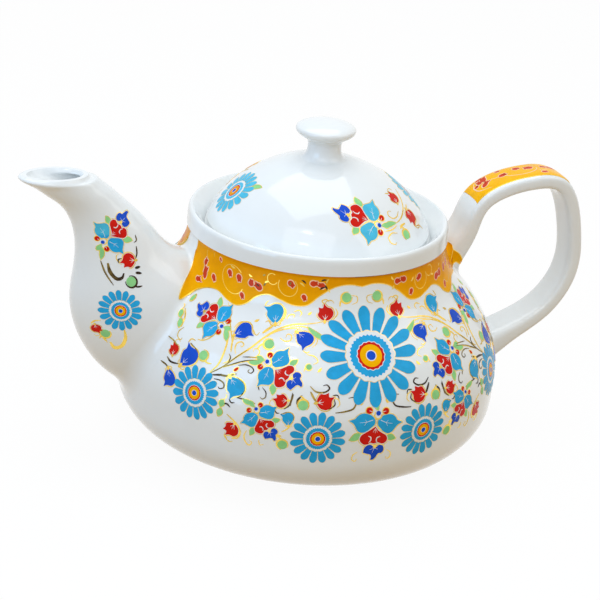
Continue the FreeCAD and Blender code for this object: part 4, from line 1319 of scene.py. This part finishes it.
class TEAPOT_OT_stage(bpy.types.Operator):
    """Set the pale floor, the soft lamps and the camera"""
    bl_idname = "teapot.stage"
    bl_label = "Studio stage"

    def execute(self, context):
        scene = context.scene
        scene.view_settings.view_transform = "Standard"
        floor = build("floor", FLOOR, [(0, 1, 2, 3)], floor_finish(), smooth=False)
        scene.world = bpy.data.worlds.new("studio")
        scene.world.use_nodes = True
        tree = scene.world.node_tree
        light = tree.nodes["Background"]
        fill(light, {"Color": SKY, "Strength": SKY_STRENGTH})
        paper, = add_nodes(tree, "ShaderNodeBackground")
        fill(paper, {"Color": PAPER})
        show_to_camera(tree, light, paper, tree.nodes["World Output"])
        for name, spot, size, power, tint in LAMPS:
            lamp = bpy.data.lights.new(name, "AREA")
            lamp.shape, lamp.size, lamp.size_y, lamp.energy = "RECTANGLE", size[0], size[1], power
            lamp.color = tint
            holder = bpy.data.objects.new(name, lamp)
            holder.location = spot
            holder.rotation_euler = (AIM - Vector(spot)).to_track_quat("-Z", "Y").to_euler()
            scene.collection.objects.link(holder)
        data = bpy.data.cameras.new("camera")
        data.lens, data.sensor_width, data.sensor_fit = LENS, SENSOR, "HORIZONTAL"
        data.clip_start, data.clip_end = 0.05, 20.0
        camera = bpy.data.objects.new("camera", data)
        right, up = Vector(CAMERA_RIGHT), Vector(CAMERA_UP)
        back = right.cross(up).normalized()
        up = back.cross(right).normalized()
        right.normalize()
        turned = Matrix((right, up, back)).transposed()
        camera.matrix_world = Matrix.LocRotScale(Vector(CAMERA_SPOT), turned.to_quaternion(), None)
        scene.collection.objects.link(camera)
        scene.camera = camera
        return {"FINISHED"}


def show_to_camera(tree, plain, shown, result):
    """Show one shader to the camera and in reflections, and the plain one to every other ray."""
    path, mix = add_nodes(tree, "ShaderNodeLightPath", "ShaderNodeMixShader")
    giver, output = path, "Is Camera Ray"
    for name in ("Is Glossy Ray", "Is Transmission Ray"):
        larger = maths(tree, "MAXIMUM", {})
        wire(tree, (giver, output, larger, 0), (path, name, larger, 1))
        giver, output = larger, 0
    wire(tree, (giver, output, mix, 0), (plain, 0, mix, 1), (shown, 0, mix, 2), (mix, 0, result, "Surface"))


def floor_finish():
    """A warm table to the pot's glaze, white to the camera but for the pot's soft shadow."""
    material = bpy.data.materials.new("studio_floor")
    material.use_nodes = True
    tree = material.node_tree
    shader = tree.nodes["Principled BSDF"]
    fill(shader, {"Base Color": TABLE, "Roughness": 0.9})
    glow, pale, mix = add_nodes(tree, "ShaderNodeEmission", "ShaderNodeBsdfDiffuse", "ShaderNodeMixShader")
    fill(pale, {"Color": SHADE})
    fill(glow, {"Color": PAPER})
    fill(mix, {0: FLOOR_GLOW})
    wire(tree, (pale, 0, mix, 1), (glow, 0, mix, 2))
    show_to_camera(tree, shader, mix, tree.nodes["Material Output"])
    return material


class TEAPOT_PT_dressing(bpy.types.Panel):
    """Steps and settings of the teapot"""
    bl_idname = "TEAPOT_PT_dressing"
    bl_label = "Teapot"
    bl_space_type = "VIEW_3D"
    bl_region_type = "UI"
    bl_category = "Teapot"

    def draw(self, context):
        for step in STEPS:
            self.layout.operator(step.bl_idname)
        for group in settings():
            box = self.layout.box()
            for name in group.bl_rna.properties.keys():
                if name not in ("rna_type", "name"):
                    box.prop(group, name)


GROUPS = (TeapotEnamel, TeapotFlowers, TeapotPorcelain)
STEPS = (TEAPOT_OT_glaze, TEAPOT_OT_slip_seams, TEAPOT_OT_collar_bands, TEAPOT_OT_handle_strip,
         TEAPOT_OT_flowers, TEAPOT_OT_stage)


def register():
    for item in GROUPS + STEPS + (TEAPOT_PT_dressing,):
        bpy.utils.register_class(item)
    bpy.types.Scene.teapot_enamel = PointerProperty(type=TeapotEnamel)
    bpy.types.Scene.teapot_flowers = PointerProperty(type=TeapotFlowers)
    bpy.types.Scene.teapot_porcelain = PointerProperty(type=TeapotPorcelain)


def unregister():
    del bpy.types.Scene.teapot_enamel, bpy.types.Scene.teapot_flowers, bpy.types.Scene.teapot_porcelain
    for item in reversed(GROUPS + STEPS + (TEAPOT_PT_dressing,)):
        bpy.utils.unregister_class(item)


def main():
    register()
    bpy.ops.teapot.glaze()
    bpy.ops.teapot.slip_seams()
    bpy.ops.teapot.collar_bands()
    bpy.ops.teapot.handle_strip()
    bpy.ops.teapot.flowers()
    bpy.ops.teapot.stage()


if __name__ == "__main__":
    main()
